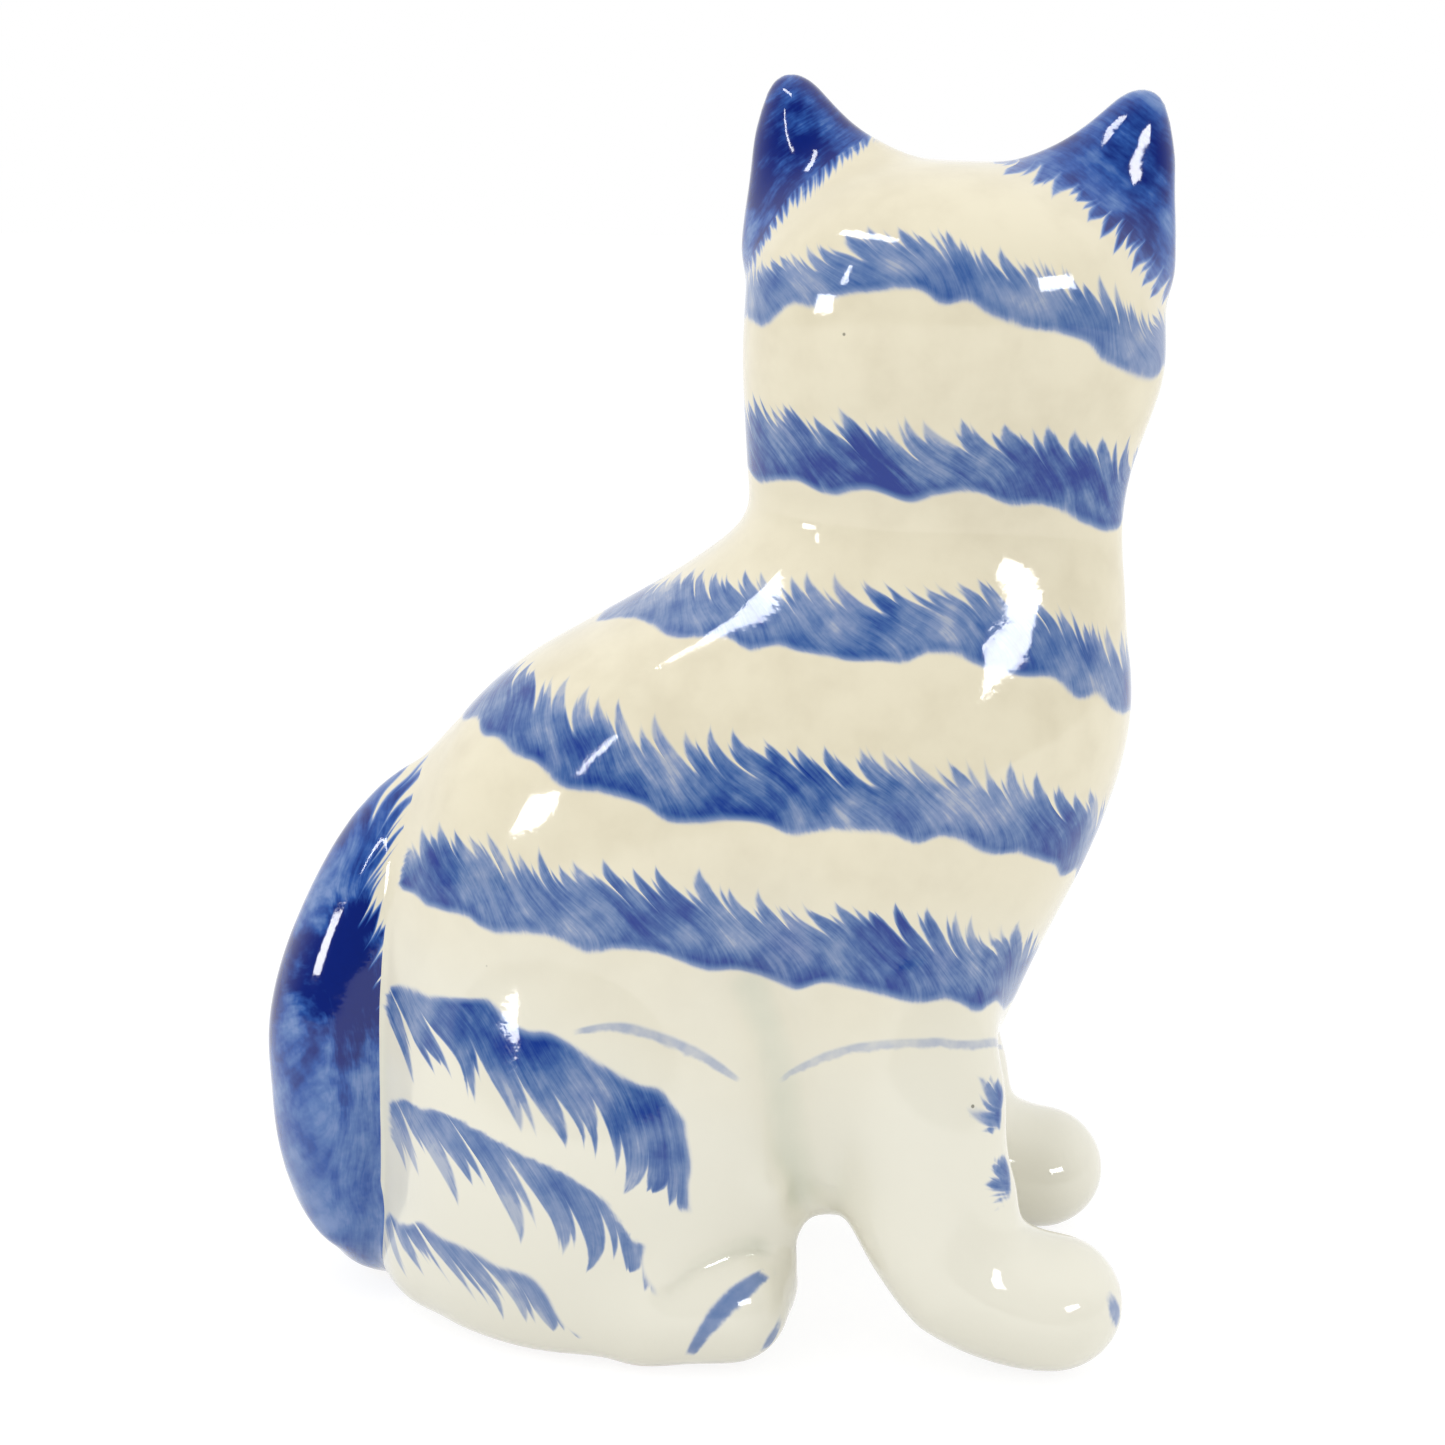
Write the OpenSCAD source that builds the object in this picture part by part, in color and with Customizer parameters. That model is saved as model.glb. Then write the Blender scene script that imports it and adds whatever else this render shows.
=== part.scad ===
// Sitting cat figurine in glazed ceramic: hollow cast trunk and head, with cast ears, legs, feet and
// tail luted on. Millimetres, +Z up, chest towards +X, resting plane at Z = 0.

/* [Trunk] */
// Height of the neck rim above the ground
trunk_h = 118; // [96:1:142]
// Length of the trunk from rump to chest
trunk_l = 112; // [92:1:135]
// Width of the trunk across the flanks, without the haunches
trunk_w = 70; // [58:1:84]
// How far the trunk's axis leans forward over its height
trunk_lean = 47; // [38:1:56]
// Radius that rounds the trunk under to its foot
foot_round = 11; // [7:0.5:12]

/* [Haunches] */
// Distance between the middles of the two haunches
haunch_gap = 34; // [28:1:42]
// Length of a haunch
haunch_l = 56; // [46:1:68]
// Thickness of a haunch
haunch_t = 45; // [38:1:54]
// Height of a haunch
haunch_h = 80; // [66:1:96]

/* [Head] */
// Height of the head from the neck rim to the crown
head_h = 51; // [42:1:62]
// Width of the head
head_w = 60; // [50:1:72]
// Depth of the head from the nape to the brow
head_d = 56; // [47:1:67]
// Turn of the head to the left of the chest, in degrees
head_turn = 86; // [0:1:100]
// Tilt of the head towards the chest, in degrees
head_tilt = 2.5; // [0:0.5:5]

/* [Ears] */
// Height of an ear above its root
ear_h = 20; // [16:1:25]
// Width of an ear at its root
ear_w = 23; // [19:1:27]
// Thickness of an ear at its root
ear_t = 15; // [12:1:18]

/* [Legs and feet] */
// Distance between the middles of the two fore paws
paw_gap = 54; // [46:1:64]
// Width of a fore paw
paw_w = 25; // [21:1:29]
// Height of a fore paw
paw_h = 19; // [16:1:22]
// Thickness of a foreleg from front to back
leg_t = 25; // [21:1:30]
// Distance between the middles of the two hind feet
hind_gap = 57; // [48:1:68]
// Width of a hind foot
hind_w = 22; // [18:1:26]
// Height of a hind foot
hind_h = 18; // [15:1:21]

/* [Tail] */
// Thickness of the tail at its thickest
tail_d = 24; // [20:1:28]

/* [Shell] */
// Wall thickness of the hollow castings
wall = 4; // [3:0.5:5]
// Diameter of the vent hole in the foot
vent_d = 10; // [6:1:12]
// How far behind the middle of the foot the vent hole lies
vent_back = 9; // [8:0.5:11]
// Slip layer in each luted seam
seam = 0.3; // [0.2:0.05:0.6]
// Clearance of a spigot in its hole, on the radius
fit = 0.2; // [0.1:0.05:0.4]
// Diameter of the collar under the head
collar_d = 30; // [24:1:34]
// Diameter of the spigot on each foreleg and on the tail
spigot_d = 9; // [7:0.5:11]
// Length of a spigot from the middle of its limb
spigot_l = 20; // [16:1:24]
// Diameter of the air passage through a spigot
passage_d = 4; // [3:0.5:5]
// Diameter of the peg on each ear and each hind foot
peg_d = 5; // [4:0.5:6]
// Length of the peg on each hind foot from the middle of the foot
peg_l = 18; // [15:1:22]

/* [Hidden] */
$fn = 48;
glaze = "ivory";
cobalt = "royalblue";
sideways = [0, 1, 0];

// Overshoot of a cut, and the least size of a ring
over = 1;
eps = 0.01;

// Trunk outline: share of the height, then reach behind and before the leaning axis as shares of the
// length, then the half width as a share of the width
trunk_form = [
    [0.00, 0.275, 0.225, 0.430],
    [0.07, 0.319, 0.196, 0.445],
    [0.115, 0.343, 0.192, 0.450],
    [0.165, 0.369, 0.246, 0.455],
    [0.215, 0.390, 0.340, 0.460],
    [0.29, 0.422, 0.383, 0.465],
    [0.47, 0.487, 0.393, 0.485],
    [0.60, 0.512, 0.403, 0.490],
    [0.72, 0.507, 0.393, 0.475],
    [0.81, 0.455, 0.360, 0.430],
    [0.89, 0.344, 0.306, 0.375],
    [0.95, 0.264, 0.271, 0.325],
    [1.00, 0.225, 0.250, 0.295],
];
trunk_power = 2.4;

// Facets round each casting and height between its rings
trunk_sides = 64;
trunk_rise = 3;
head_sides = 52;
head_rise = 2.4;
crown_rings = 12;
ear_sides = 28;
ear_rings = 17;
limb_sides = 28;
leg_rings = 26;
hollow_rings = 12;
hind_rings = 18;
tail_rings = 40;

// Middle of a haunch, and the width of the crease round it
haunch_x = axis_x(0.205) - 0.061 * trunk_l;
haunch_z = 0.205 * trunk_h;
haunch_blend = 7;
bulge_fade = 0.125;

// Middle of the neck, thickness of the deck that closes it, depth of the head's collar in it, and the
// least room left between an inner face and the outer face above or below it
neck_x = trunk_lean;
deck = 1.5 * wall;
collar_drop = deck + 0.5 * wall;
wall_clear = wall / 4;

// Head: overhang towards the chest, fullness across and over the crown, height of the widest part
head_shift = 3;
head_power = 2.5;
dome_power = 2.5;
brow_z = 0.55 * head_h;

// Muzzle: middle in the head's own frame, half sizes and the width of the crease round it
muzzle = [0.42 * head_d, 0, 0.31 * head_h];
muzzle_size = [0.2 * head_d, 0.23 * head_w, 0.19 * head_h];
muzzle_blend = 5;

// Ear outline: share of the height above the root, outward lean and half width as shares of the root
// width, then half thickness as a share of the root thickness
ear_root = -0.6;
ear_tip = 0.99;
ear_form = [
    [ear_root, -0.060, 0.480, 0.500],
    [0.00, 0.000, 0.500, 0.500],
    [0.30, 0.050, 0.455, 0.470],
    [0.55, 0.130, 0.360, 0.410],
    [0.82, 0.225, 0.200, 0.300],
    [0.95, 0.260, 0.110, 0.190],
    [1.00, 0.270, 0.000, 0.000],
];

// Scoop on the side of the face: depth, then where it starts and over what share of the height it forms
ear_scoop = 1.15;
ear_scoop_from = -0.4;
ear_scoop_over = 0.5;
ear_side = head_w / 2 - ear_w / 2;
ear_sink = 9;
ear_z = head_h - ear_sink;

// Ear peg: middle of the ear's thickness, lean, depth below the root and share of the ear it fills
ear_peg_depth = -0.26 * ear_t;
ear_peg_lean = 2;
ear_peg_drop = 2 * wall;
ear_peg_rise = 0.45 * ear_h;

// Foreleg: share of the way from shoulder to toe, place of the axis, half thickness, half width
leg_form = [
    [0.00, axis_x(0.56) + 0.135 * trunk_l, 0.34 * paw_gap, 0.56 * trunk_h, 0.50 * leg_t, 0.46 * paw_w],
    [0.16, axis_x(0.44) + 0.215 * trunk_l, 0.38 * paw_gap, 0.44 * trunk_h, 0.52 * leg_t, 0.49 * paw_w],
    [0.32, axis_x(0.33) + 0.284 * trunk_l, 0.43 * paw_gap, 0.33 * trunk_h, 0.49 * leg_t, 0.49 * paw_w],
    [0.48, axis_x(0.22) + 0.353 * trunk_l, 0.47 * paw_gap, 0.22 * trunk_h, 0.43 * leg_t, 0.48 * paw_w],
    [0.64, 0.492 * trunk_l, 0.49 * paw_gap, 0.74 * paw_h, 0.41 * leg_t, 0.49 * paw_w],
    [0.78, 0.565 * trunk_l, 0.50 * paw_gap, 0.52 * paw_h, 0.51 * paw_h, 0.50 * paw_w],
    [0.90, 0.635 * trunk_l, 0.50 * paw_gap, 0.48 * paw_h, 0.48 * paw_h, 0.48 * paw_w],
    [1.00, 0.693 * trunk_l, 0.50 * paw_gap, 0.45 * paw_h, 0.45 * paw_h, 0.45 * paw_w],
];
leg_round = 0.86;
leg_hollow = [0.40, 0.94];
leg_peg_at = 0.44;
leg_peg_aim = [trunk_x(0.62 * trunk_h), 0.1 * paw_gap, 0.62 * trunk_h];

// Hind foot: share of the way from heel to toe, place of the axis, half height, half width
hind_form = [
    [0.0, haunch_x + 0.02 * haunch_l, 0.48 * hind_gap, 0.50 * hind_h, 0.50 * hind_h, 0.47 * hind_w],
    [0.5, haunch_x + 0.24 * haunch_l, 0.50 * hind_gap, 0.50 * hind_h, 0.50 * hind_h, 0.50 * hind_w],
    [1.0, haunch_x + 0.49 * haunch_l, 0.48 * hind_gap, 0.46 * hind_h, 0.46 * hind_h, 0.46 * hind_w],
];
hind_round = 0.72;
hind_heel = 0.35;
hind_peg_at = 0.7;
hind_peg_out = 0.2 * hind_w;

// Tail: share of the way from root to tip, place of the axis, half thickness both ways
tail_form = [
    [0.00, axis_x(0.67) - 0.426 * trunk_l, 0, 0.67 * trunk_h, 0.34 * tail_d, 0.34 * tail_d],
    [0.14, axis_x(0.575) - 0.488 * trunk_l, -0.02 * trunk_w, 0.575 * trunk_h, 0.42 * tail_d, 0.42 * tail_d],
    [0.28, axis_x(0.44) - 0.498 * trunk_l, -0.05 * trunk_w, 0.44 * trunk_h, 0.47 * tail_d, 0.47 * tail_d],
    [0.42, axis_x(0.32) - 0.474 * trunk_l, -0.07 * trunk_w, 0.32 * trunk_h, 0.50 * tail_d, 0.50 * tail_d],
    [0.52, axis_x(0.23) - 0.434 * trunk_l, -0.08 * trunk_w, 0.23 * trunk_h, 0.50 * tail_d, 0.50 * tail_d],
    [0.60, -0.320 * trunk_l, -0.03 * trunk_w, 0.69 * tail_d, 0.50 * tail_d, 0.50 * tail_d],
    [0.68, -0.285 * trunk_l, 0.09 * trunk_w, 0.53 * tail_d, 0.49 * tail_d, 0.49 * tail_d],
    [0.78, -0.225 * trunk_l, 0.26 * trunk_w, 0.50 * tail_d, 0.47 * tail_d, 0.47 * tail_d],
    [0.88, -0.125 * trunk_l, 0.44 * trunk_w, 0.46 * tail_d, 0.43 * tail_d, 0.43 * tail_d],
    [1.00, 0.015 * trunk_l, 0.62 * trunk_w, 0.38 * tail_d, 0.34 * tail_d, 0.34 * tail_d],
];
tail_round = 0.88;
tail_peg_at = 0.19;
tail_peg_out = 0.3 * tail_d;
tail_across = [0.5, -0.8, -0.3];

function mix(a, b, t) = a + (b - a) * t;
function ease(t) = let(u = min(1, max(0, t))) u * u * (3 - 2 * u);
function unit(v) = v / norm(v);

// Larger of two radii with a rounded crease
function blend(a, b, k) = let(h = max(k - abs(a - b), 0) / k) max(a, b) + h * h * k / 4;

// Smooth curve through the rows of a form at share t
function slope(form, i) =
    let(lo = max(0, i - 1), hi = min(len(form) - 1, i + 1))
    (form[hi] - form[lo]) / (form[hi][0] - form[lo][0]);
function along(form, t) =
    let(i = max([for (k = [0:len(form) - 2]) form[k][0] <= t ? k : 0]),
        gap = form[i + 1][0] - form[i][0],
        u = (t - form[i][0]) / gap)
    form[i] * (2 * u - 3) * u * u + form[i] + slope(form, i) * gap * u * (1 - u) * (1 - u)
        + form[i + 1] * (3 - 2 * u) * u * u - slope(form, i + 1) * gap * u * u * (1 - u);

// Radius of an egg outline at angle a, and of an ellipse whose centre is off the axis
function egg(a, front, back, side, power) =
    let(c = cos(a), s = sin(a), x = abs(c) / (c > 0 ? front : back), y = abs(s) / side)
    1 / pow(pow(x, power) + pow(y, power), 1 / power);
function reach(a, centre, radii) =
    let(c = cos(a) / radii[0], s = sin(a) / radii[1],
        x = centre[0] / radii[0], y = centre[1] / radii[1],
        k = c * c + s * s,
        b = c * x + s * y)
    max(0, (b + sqrt(max(0, b * b - k * (x * x + y * y - 1)))) / k);

// Reach of an ellipsoid at height h of its half height, fading out close to its top and bottom
function bulge(a, h, centre, radii) =
    ease((1 - abs(h)) / bulge_fade) * reach(a, centre, radii * sqrt(max(eps * eps, 1 - h * h)));

// Place of the leaning axis at a share of the trunk's height, and at a height
function axis_x(share) = trunk_lean * share;
function trunk_x(z) = axis_x(z / trunk_h);
function haunch_reach(a, z, side) =
    bulge(a, (z - haunch_z) / (haunch_h / 2),
        [haunch_x - trunk_x(z), side * haunch_gap / 2], [haunch_l / 2, haunch_t / 2]);
function under_cut(z) =
    let(h = max(0, foot_round - z)) foot_round - sqrt(foot_round * foot_round - h * h);
function trunk_reach(a, z) =
    let(f = along(trunk_form, z / trunk_h),
        flank = egg(a, f[2] * trunk_l, f[1] * trunk_l, f[3] * trunk_w, trunk_power),
        right = haunch_reach(a, z, -1),
        left = haunch_reach(a, z, 1))
    blend(blend(flank, right, haunch_blend), left, haunch_blend) - under_cut(z);

// Distance to the inner face: a wall from the outer face beside it, and clear of the outer face that
// lies a wall above and a wall below
function trunk_inside(a, z) =
    min([for (h = [-wall, 0, wall])
        trunk_reach(a, min(trunk_h, max(0, z + h))) - (h == 0 ? wall : wall_clear)]);

function brow_reach(a) = egg(a, 0.52 * head_d, 0.48 * head_d, head_w / 2, head_power);
function dome(h) = pow(max(eps * eps, 1 - pow(h, dome_power)), 1 / dome_power);
function head_x(z) = neck_x + head_shift * ease(z / brow_z);

// Point of the upright head, tilted about the neck rim and set on the trunk
function tilted(p) =
    let(t = tan(head_tilt) * ease(p[2] / brow_z))
    [p[0] + t * p[2], p[1], trunk_h + p[2] - t * (p[0] - neck_x)];
function head_reach(a, z) =
    let(face = a - head_turn,
        skull = z < brow_z
            ? mix(trunk_reach(a, trunk_h), brow_reach(face), ease(z / brow_z))
            : brow_reach(face) * dome((z - brow_z) / (head_h - brow_z)),
        snout = bulge(face, (z - muzzle[2]) / muzzle_size[2], muzzle, muzzle_size))
    blend(skull, snout, muzzle_blend);
function head_inside(a, z) =
    min([for (h = [-wall, 0, wall])
        head_reach(a, min(head_h, max(0, z + h))) - (h == 0 ? wall : wall_clear)]);

// Heights that close up towards a dome's crown, and shares that close up towards a tip
function crown_heights(top, n) = [for (k = [1:n]) top * sin(90 * k / n)];
function to_tip(from, to, n) = [for (k = [0:n]) mix(from, to, 1 - pow(1 - k / n, 1.5))];

// Closed skin over rings of points, from the first ring to the last
module loft(rings) {
    n = len(rings[0]);
    last = len(rings) - 1;
    middle = function (ring) ring * [for (k = ring) 1] / n;
    points = concat([for (ring = rings) each ring],
        [[for (k = [0:2]) middle([for (p = rings[0]) p[k]])],
         [for (k = [0:2]) middle([for (p = rings[last]) p[k]])]]);
    skin = [for (r = [0:last - 1], k = [0:n - 1])
        let(a = r * n + k, b = r * n + (k + 1) % n)
        each [[a, a + n, b], [b, a + n, b + n]]];
    foot = [for (k = [0:n - 1]) [k, (k + 1) % n, len(points) - 2]];
    top = [for (k = [0:n - 1]) [last * n + (k + 1) % n, last * n + k, len(points) - 1]];
    polyhedron(points, concat(skin, foot, top));
}

// Ring of points across a path that runs along tangent, and the whole skin along a form
function cross_ring(row, tangent, across, grow, sides) =
    let(u = unit(cross(across, tangent)), v = cross(tangent, u))
    [for (k = [0:sides - 1])
        let(a = 360 * k / sides)
        [row[1], row[2], row[3]] + u * max(eps, row[4] + grow) * cos(a)
            + v * max(eps, row[5] + grow) * sin(a)];
function tangent_at(form, t) =
    let(step = 0.01, a = along(form, max(0, t - step)), b = along(form, min(1, t + step)))
    unit([b[1] - a[1], b[2] - a[2], b[3] - a[3]]);
function point_at(form, t) = let(row = along(form, t)) [row[1], row[2], row[3]];
function end_round(t, from) = sqrt(max(0, 1 - pow(max(0, t - from) / (1 - from), 2)));
function rounded(row, s) = [row[0], row[1], row[2], row[3], row[4] * s, row[5] * s];

module limb(form, round_from, across, rings, sides, grow = 0, span = [0, 1], round_to = 0) {
    loft([for (t = to_tip(span[0], span[1], rings))
        let(tip = end_round(t / span[1], round_from),
            heel = round_to > 0 ? end_round(1 - t, 1 - round_to) : 1)
        cross_ring(rounded(along(form, t), tip * heel), tangent_at(form, t), across, grow, sides)]);
}

// Cylinder from point a to point b, or the hole for it with a gap round it and past its ends
module rod(a, b, d, gap = 0) {
    v = b - a;
    translate(a - gap * unit(v))
        rotate([0, acos(v[2] / norm(v)), atan2(v[1], v[0])])
            cylinder(d = d + 2 * gap, h = norm(v) + 2 * gap);
}

// Solid that is cut to fit its seat, as one faceted skin
module coped() { resize([0, 0, 0]) children(); }

// Everything under the resting plane
module below_ground() {
    wide = 4 * trunk_l;
    translate([-wide / 2, -wide / 2, -wide]) cube(wide);
}

module flip(side) { mirror([0, side < 0 ? 1 : 0, 0]) children(); }

module trunk_outer(grow = 0) {
    levels = concat([for (a = [0:18:72]) foot_round * (1 - cos(a))],
        [for (z = [foot_round:trunk_rise:trunk_h - 1]) z], [trunk_h]);
    loft([for (z = levels)
        let(drop = grow * max(0, 1 - z / foot_round))
        [for (k = [0:trunk_sides - 1])
            let(a = 360 * k / trunk_sides, r = trunk_reach(a, z) + grow)
            [trunk_x(z) + r * cos(a), r * sin(a), z - drop]]]);
}
module trunk_cavity() {
    sides = trunk_sides / 2;
    rise = 2 * trunk_rise;
    levels = concat([for (z = [wall:rise:trunk_h - deck - 1]) z], [trunk_h - deck]);
    loft([for (z = levels)
        [for (k = [0:sides - 1])
            let(a = 360 * k / sides, r = trunk_inside(a, z))
            [trunk_x(z) + r * cos(a), r * sin(a), z]]]);
}
module trunk() {
    color(glaze) difference() {
        trunk_outer();
        trunk_cavity();
        translate([-vent_back, 0, -over]) cylinder(d = vent_d, h = wall + 2 * over);
        translate([neck_x, 0, trunk_h - deck - over])
            cylinder(d = collar_d + 2 * fit, h = deck + 2 * over);
        for (side = [-1, 1]) flip(side) {
            leg_peg(spigot_d, fit);
            hind_peg(peg_d, fit);
        }
        tail_peg(spigot_d, fit);
    }
}

function head_levels(rise, from, to) =
    concat([for (z = [from:rise:brow_z]) z], [for (h = crown_heights(to - brow_z, crown_rings)) brow_z + h]);
module head_outer(grow = 0) {
    loft([for (z = head_levels(head_rise, seam, head_h))
        [for (k = [0:head_sides - 1])
            let(a = 360 * k / head_sides, r = head_reach(a, z) + grow)
            tilted([head_x(z) + r * cos(a), r * sin(a), z + grow * z / head_h])]]);
}
module head_cavity() {
    sides = head_sides / 2;
    loft([for (z = head_levels(2 * head_rise, wall, head_h - wall))
        [for (k = [0:sides - 1])
            let(a = 360 * k / sides, r = max(eps, head_inside(a, z)))
            tilted([head_x(z) + r * cos(a), r * sin(a), z])]]);
}
module head() {
    color(glaze) difference() {
        union() {
            head_outer();
            translate([neck_x, 0, trunk_h - collar_drop])
                cylinder(d = collar_d, h = collar_drop + wall);
        }
        head_cavity();
        translate([neck_x, 0, trunk_h - collar_drop - over])
            cylinder(d = collar_d - 2 * wall, h = collar_drop + 2 * wall + over);
        for (side = [-1, 1]) ear_peg(side, peg_d, fit);
    }
}

// Point in the head's own frame: towards the face, towards its left, above the neck rim
function head_point(p) =
    let(c = cos(head_turn), s = sin(head_turn))
    tilted([head_x(head_h) + p[0] * c - p[1] * s, p[0] * s + p[1] * c, p[2]]);

// Ear outline bent into a scoop on the side of the face
function ear_ring(t, side) =
    let(f = along(ear_form, t),
        scoop = ear_scoop * ease((t - ear_scoop_from) / ear_scoop_over) * (1 - pow(max(0, t), 3)))
    [for (k = [0:ear_sides - 1])
        let(a = 360 * k / ear_sides,
            c = cos(a),
            depth = f[3] * ear_t * c * (c > 0 ? 1 - scoop * c : 1),
            out = ear_side + ear_w * (f[1] + f[2] * sin(a)))
        head_point([depth, side * out, ear_z + ear_h * t])];
module ear_solid(side) {
    shares = to_tip(ear_root, ear_tip, ear_rings);
    if (side > 0)
        loft([for (t = shares) ear_ring(t, side)]);
    else
        loft([for (t = shares) let(r = ear_ring(t, side)) [for (k = [ear_sides:-1:1]) r[k % ear_sides]]]);
}
module ear_peg(side, d, gap = 0) {
    rod(head_point([ear_peg_depth, side * (ear_side + ear_peg_lean), ear_z + ear_peg_rise]),
        head_point([ear_peg_depth, side * (ear_side - ear_peg_lean), ear_z - ear_peg_drop]), d, gap);
}
module ear(side) {
    color(cobalt) {
        coped() difference() {
            ear_solid(side);
            head_outer(seam);
        }
        ear_peg(side, peg_d);
    }
}

module leg_peg(d, gap = 0) {
    root = point_at(leg_form, leg_peg_at);
    rod(root, root + spigot_l * unit(leg_peg_aim - root), d, gap);
}
module foreleg(side) {
    color(glaze) flip(side) difference() {
        union() {
            coped() difference() {
                limb(leg_form, leg_round, sideways, leg_rings, limb_sides);
                trunk_outer(seam);
                below_ground();
            }
            leg_peg(spigot_d);
        }
        limb(leg_form, leg_round, sideways, hollow_rings, limb_sides / 2, -wall, leg_hollow);
        leg_peg(passage_d, eps);
    }
}

module hind_peg(d, gap = 0) {
    root = point_at(hind_form, hind_peg_at) + [0, hind_peg_out, 0];
    rod(root, root + peg_l * unit([haunch_x, 0, root[2]] - root), d, gap);
}
module hind_foot(side) {
    color(glaze) flip(side) {
        coped() difference() {
            limb(hind_form, hind_round, sideways, hind_rings, limb_sides, round_to = hind_heel);
            trunk_outer(seam);
            below_ground();
        }
        hind_peg(peg_d);
    }
}

module tail_peg(d, gap = 0) {
    root = point_at(tail_form, tail_peg_at) - [tail_peg_out, 0, 0];
    rod(root, root + [spigot_l, 0, 0], d, gap);
}
module tail() {
    color(cobalt) {
        coped() difference() {
            limb(tail_form, tail_round, tail_across, tail_rings, limb_sides);
            trunk_outer(seam);
        }
        tail_peg(spigot_d);
    }
}

trunk();
head();
ear(-1);  // ear_right
ear(1);  // ear_left
foreleg(-1);  // foreleg_right
foreleg(1);  // foreleg_left
hind_foot(-1);  // hind_foot_right
hind_foot(1);  // hind_foot_left
tail();
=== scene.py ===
# Sitting ceramic cat: one smooth glazed skin over the cast pieces, painted in cobalt, in a plain studio
import math

import bpy
import numpy as np
import openvdb
from mathutils import Matrix, Vector
from mathutils.bvhtree import BVHTree


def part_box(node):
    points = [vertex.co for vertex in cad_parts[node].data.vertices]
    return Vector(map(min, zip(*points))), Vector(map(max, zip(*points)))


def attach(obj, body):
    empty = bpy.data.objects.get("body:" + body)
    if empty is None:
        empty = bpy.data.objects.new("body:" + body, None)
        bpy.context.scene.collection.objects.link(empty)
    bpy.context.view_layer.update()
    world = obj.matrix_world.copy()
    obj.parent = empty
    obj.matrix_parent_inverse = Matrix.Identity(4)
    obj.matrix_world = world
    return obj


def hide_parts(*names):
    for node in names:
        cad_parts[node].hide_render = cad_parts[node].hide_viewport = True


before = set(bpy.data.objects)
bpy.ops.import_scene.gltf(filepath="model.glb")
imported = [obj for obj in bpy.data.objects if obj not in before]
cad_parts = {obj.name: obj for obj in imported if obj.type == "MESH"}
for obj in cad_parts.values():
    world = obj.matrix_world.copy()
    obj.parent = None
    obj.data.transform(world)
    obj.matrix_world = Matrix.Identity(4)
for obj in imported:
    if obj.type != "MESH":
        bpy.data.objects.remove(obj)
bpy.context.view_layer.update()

# Units: the skin and the paint are worked out in millimetres, the scene is in metres
MM = 0.001

# Camera, from the photograph: place and distances in millimetres, angles in degrees, image in pixels
PHOTO_SIZE = 1445
FOCAL_PX = 2967
SENSOR_MM = 36
CAMERA_AT = np.array([48.2, -425.0, 180.0])
CAMERA_TURN = 4.0
CAMERA_PITCH = 12.3

# Skin: grid step, width of the band of true distances, room round the part
VOXEL = 0.8
BAND = 8.0
MARGIN = 6.0

# Skin: steps and least steepness in moving points onto the surface and the seams, and a seam's furthest move
SETTLE_STEPS = 3
LEAST_STEEP = 0.1
SEAM_STEEP = 0.2
SEAM_SHIFT = 0.6

# Skin: radius of the slip fillet where each piece is luted on, and how far the glaze evens out the form:
# finely near the luted pieces, broadly away from them, and once more for the way the surface faces
FILLET = {"ear": 7.0, "foreleg": 5.0, "hind_foot": 4.0, "tail": 1.6}
FINE_BLUR = 1.3
SHEEN_BLUR = 0.9
BROAD_BLUR = 2.8
BROAD_FROM = 0.4
BROAD_OVER = 6.0

# Skin: widest gap that the slip fills, and the value given to filled hollows
SLIT = 0.35
CAVITY_DEPTH = -4.0

# Vent hole in the foot: place, radius and depth of the recess that shows
VENT_AT = np.array([-9.0, 0.0])
VENT_RADIUS = 4.9
VENT_DEPTH = 12.2


def camera_axes():
    """Right, up and forward directions of the photograph's camera."""
    turn = math.radians(CAMERA_TURN)
    pitch = math.radians(CAMERA_PITCH)
    right = np.array([math.cos(turn), math.sin(turn), 0.0])
    level = np.array([-math.sin(turn), math.cos(turn), 0.0])
    forward = level * math.cos(pitch) - np.array([0.0, 0.0, math.sin(pitch)])
    return right, np.cross(right, forward), forward


def add_object(name, data):
    made = bpy.data.objects.new(name, data)
    bpy.context.scene.collection.objects.link(made)
    return made


def add_camera():
    right, up, forward = camera_axes()
    data = bpy.data.cameras.new("camera")
    data.sensor_width = SENSOR_MM
    data.lens = FOCAL_PX / PHOTO_SIZE * SENSOR_MM
    data.clip_start = 0.01
    camera = add_object("camera", data)
    turn = Matrix((right, up, -forward)).transposed()
    camera.matrix_world = Matrix.Translation(Vector(CAMERA_AT * MM)) @ turn.to_4x4()
    bpy.context.scene.camera = camera


# Skin field

NODE_BOXES = np.array([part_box(name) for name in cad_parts]) / MM
GRID_LOW = np.floor((NODE_BOXES[:, 0].min(0) - MARGIN) / VOXEL).astype(int)
GRID_HIGH = np.ceil((NODE_BOXES[:, 1].max(0) + MARGIN) / VOXEL).astype(int)
GRID_STEP = openvdb.createLinearTransform(voxelSize=VOXEL)


def grid_axis(axis):
    """Positions along one axis of the grid, shaped to combine with the other axes."""
    shape = [1, 1, 1]
    shape[axis] = -1
    return (np.arange(GRID_LOW[axis], GRID_HIGH[axis] + 1) * VOXEL).reshape(shape)


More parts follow.
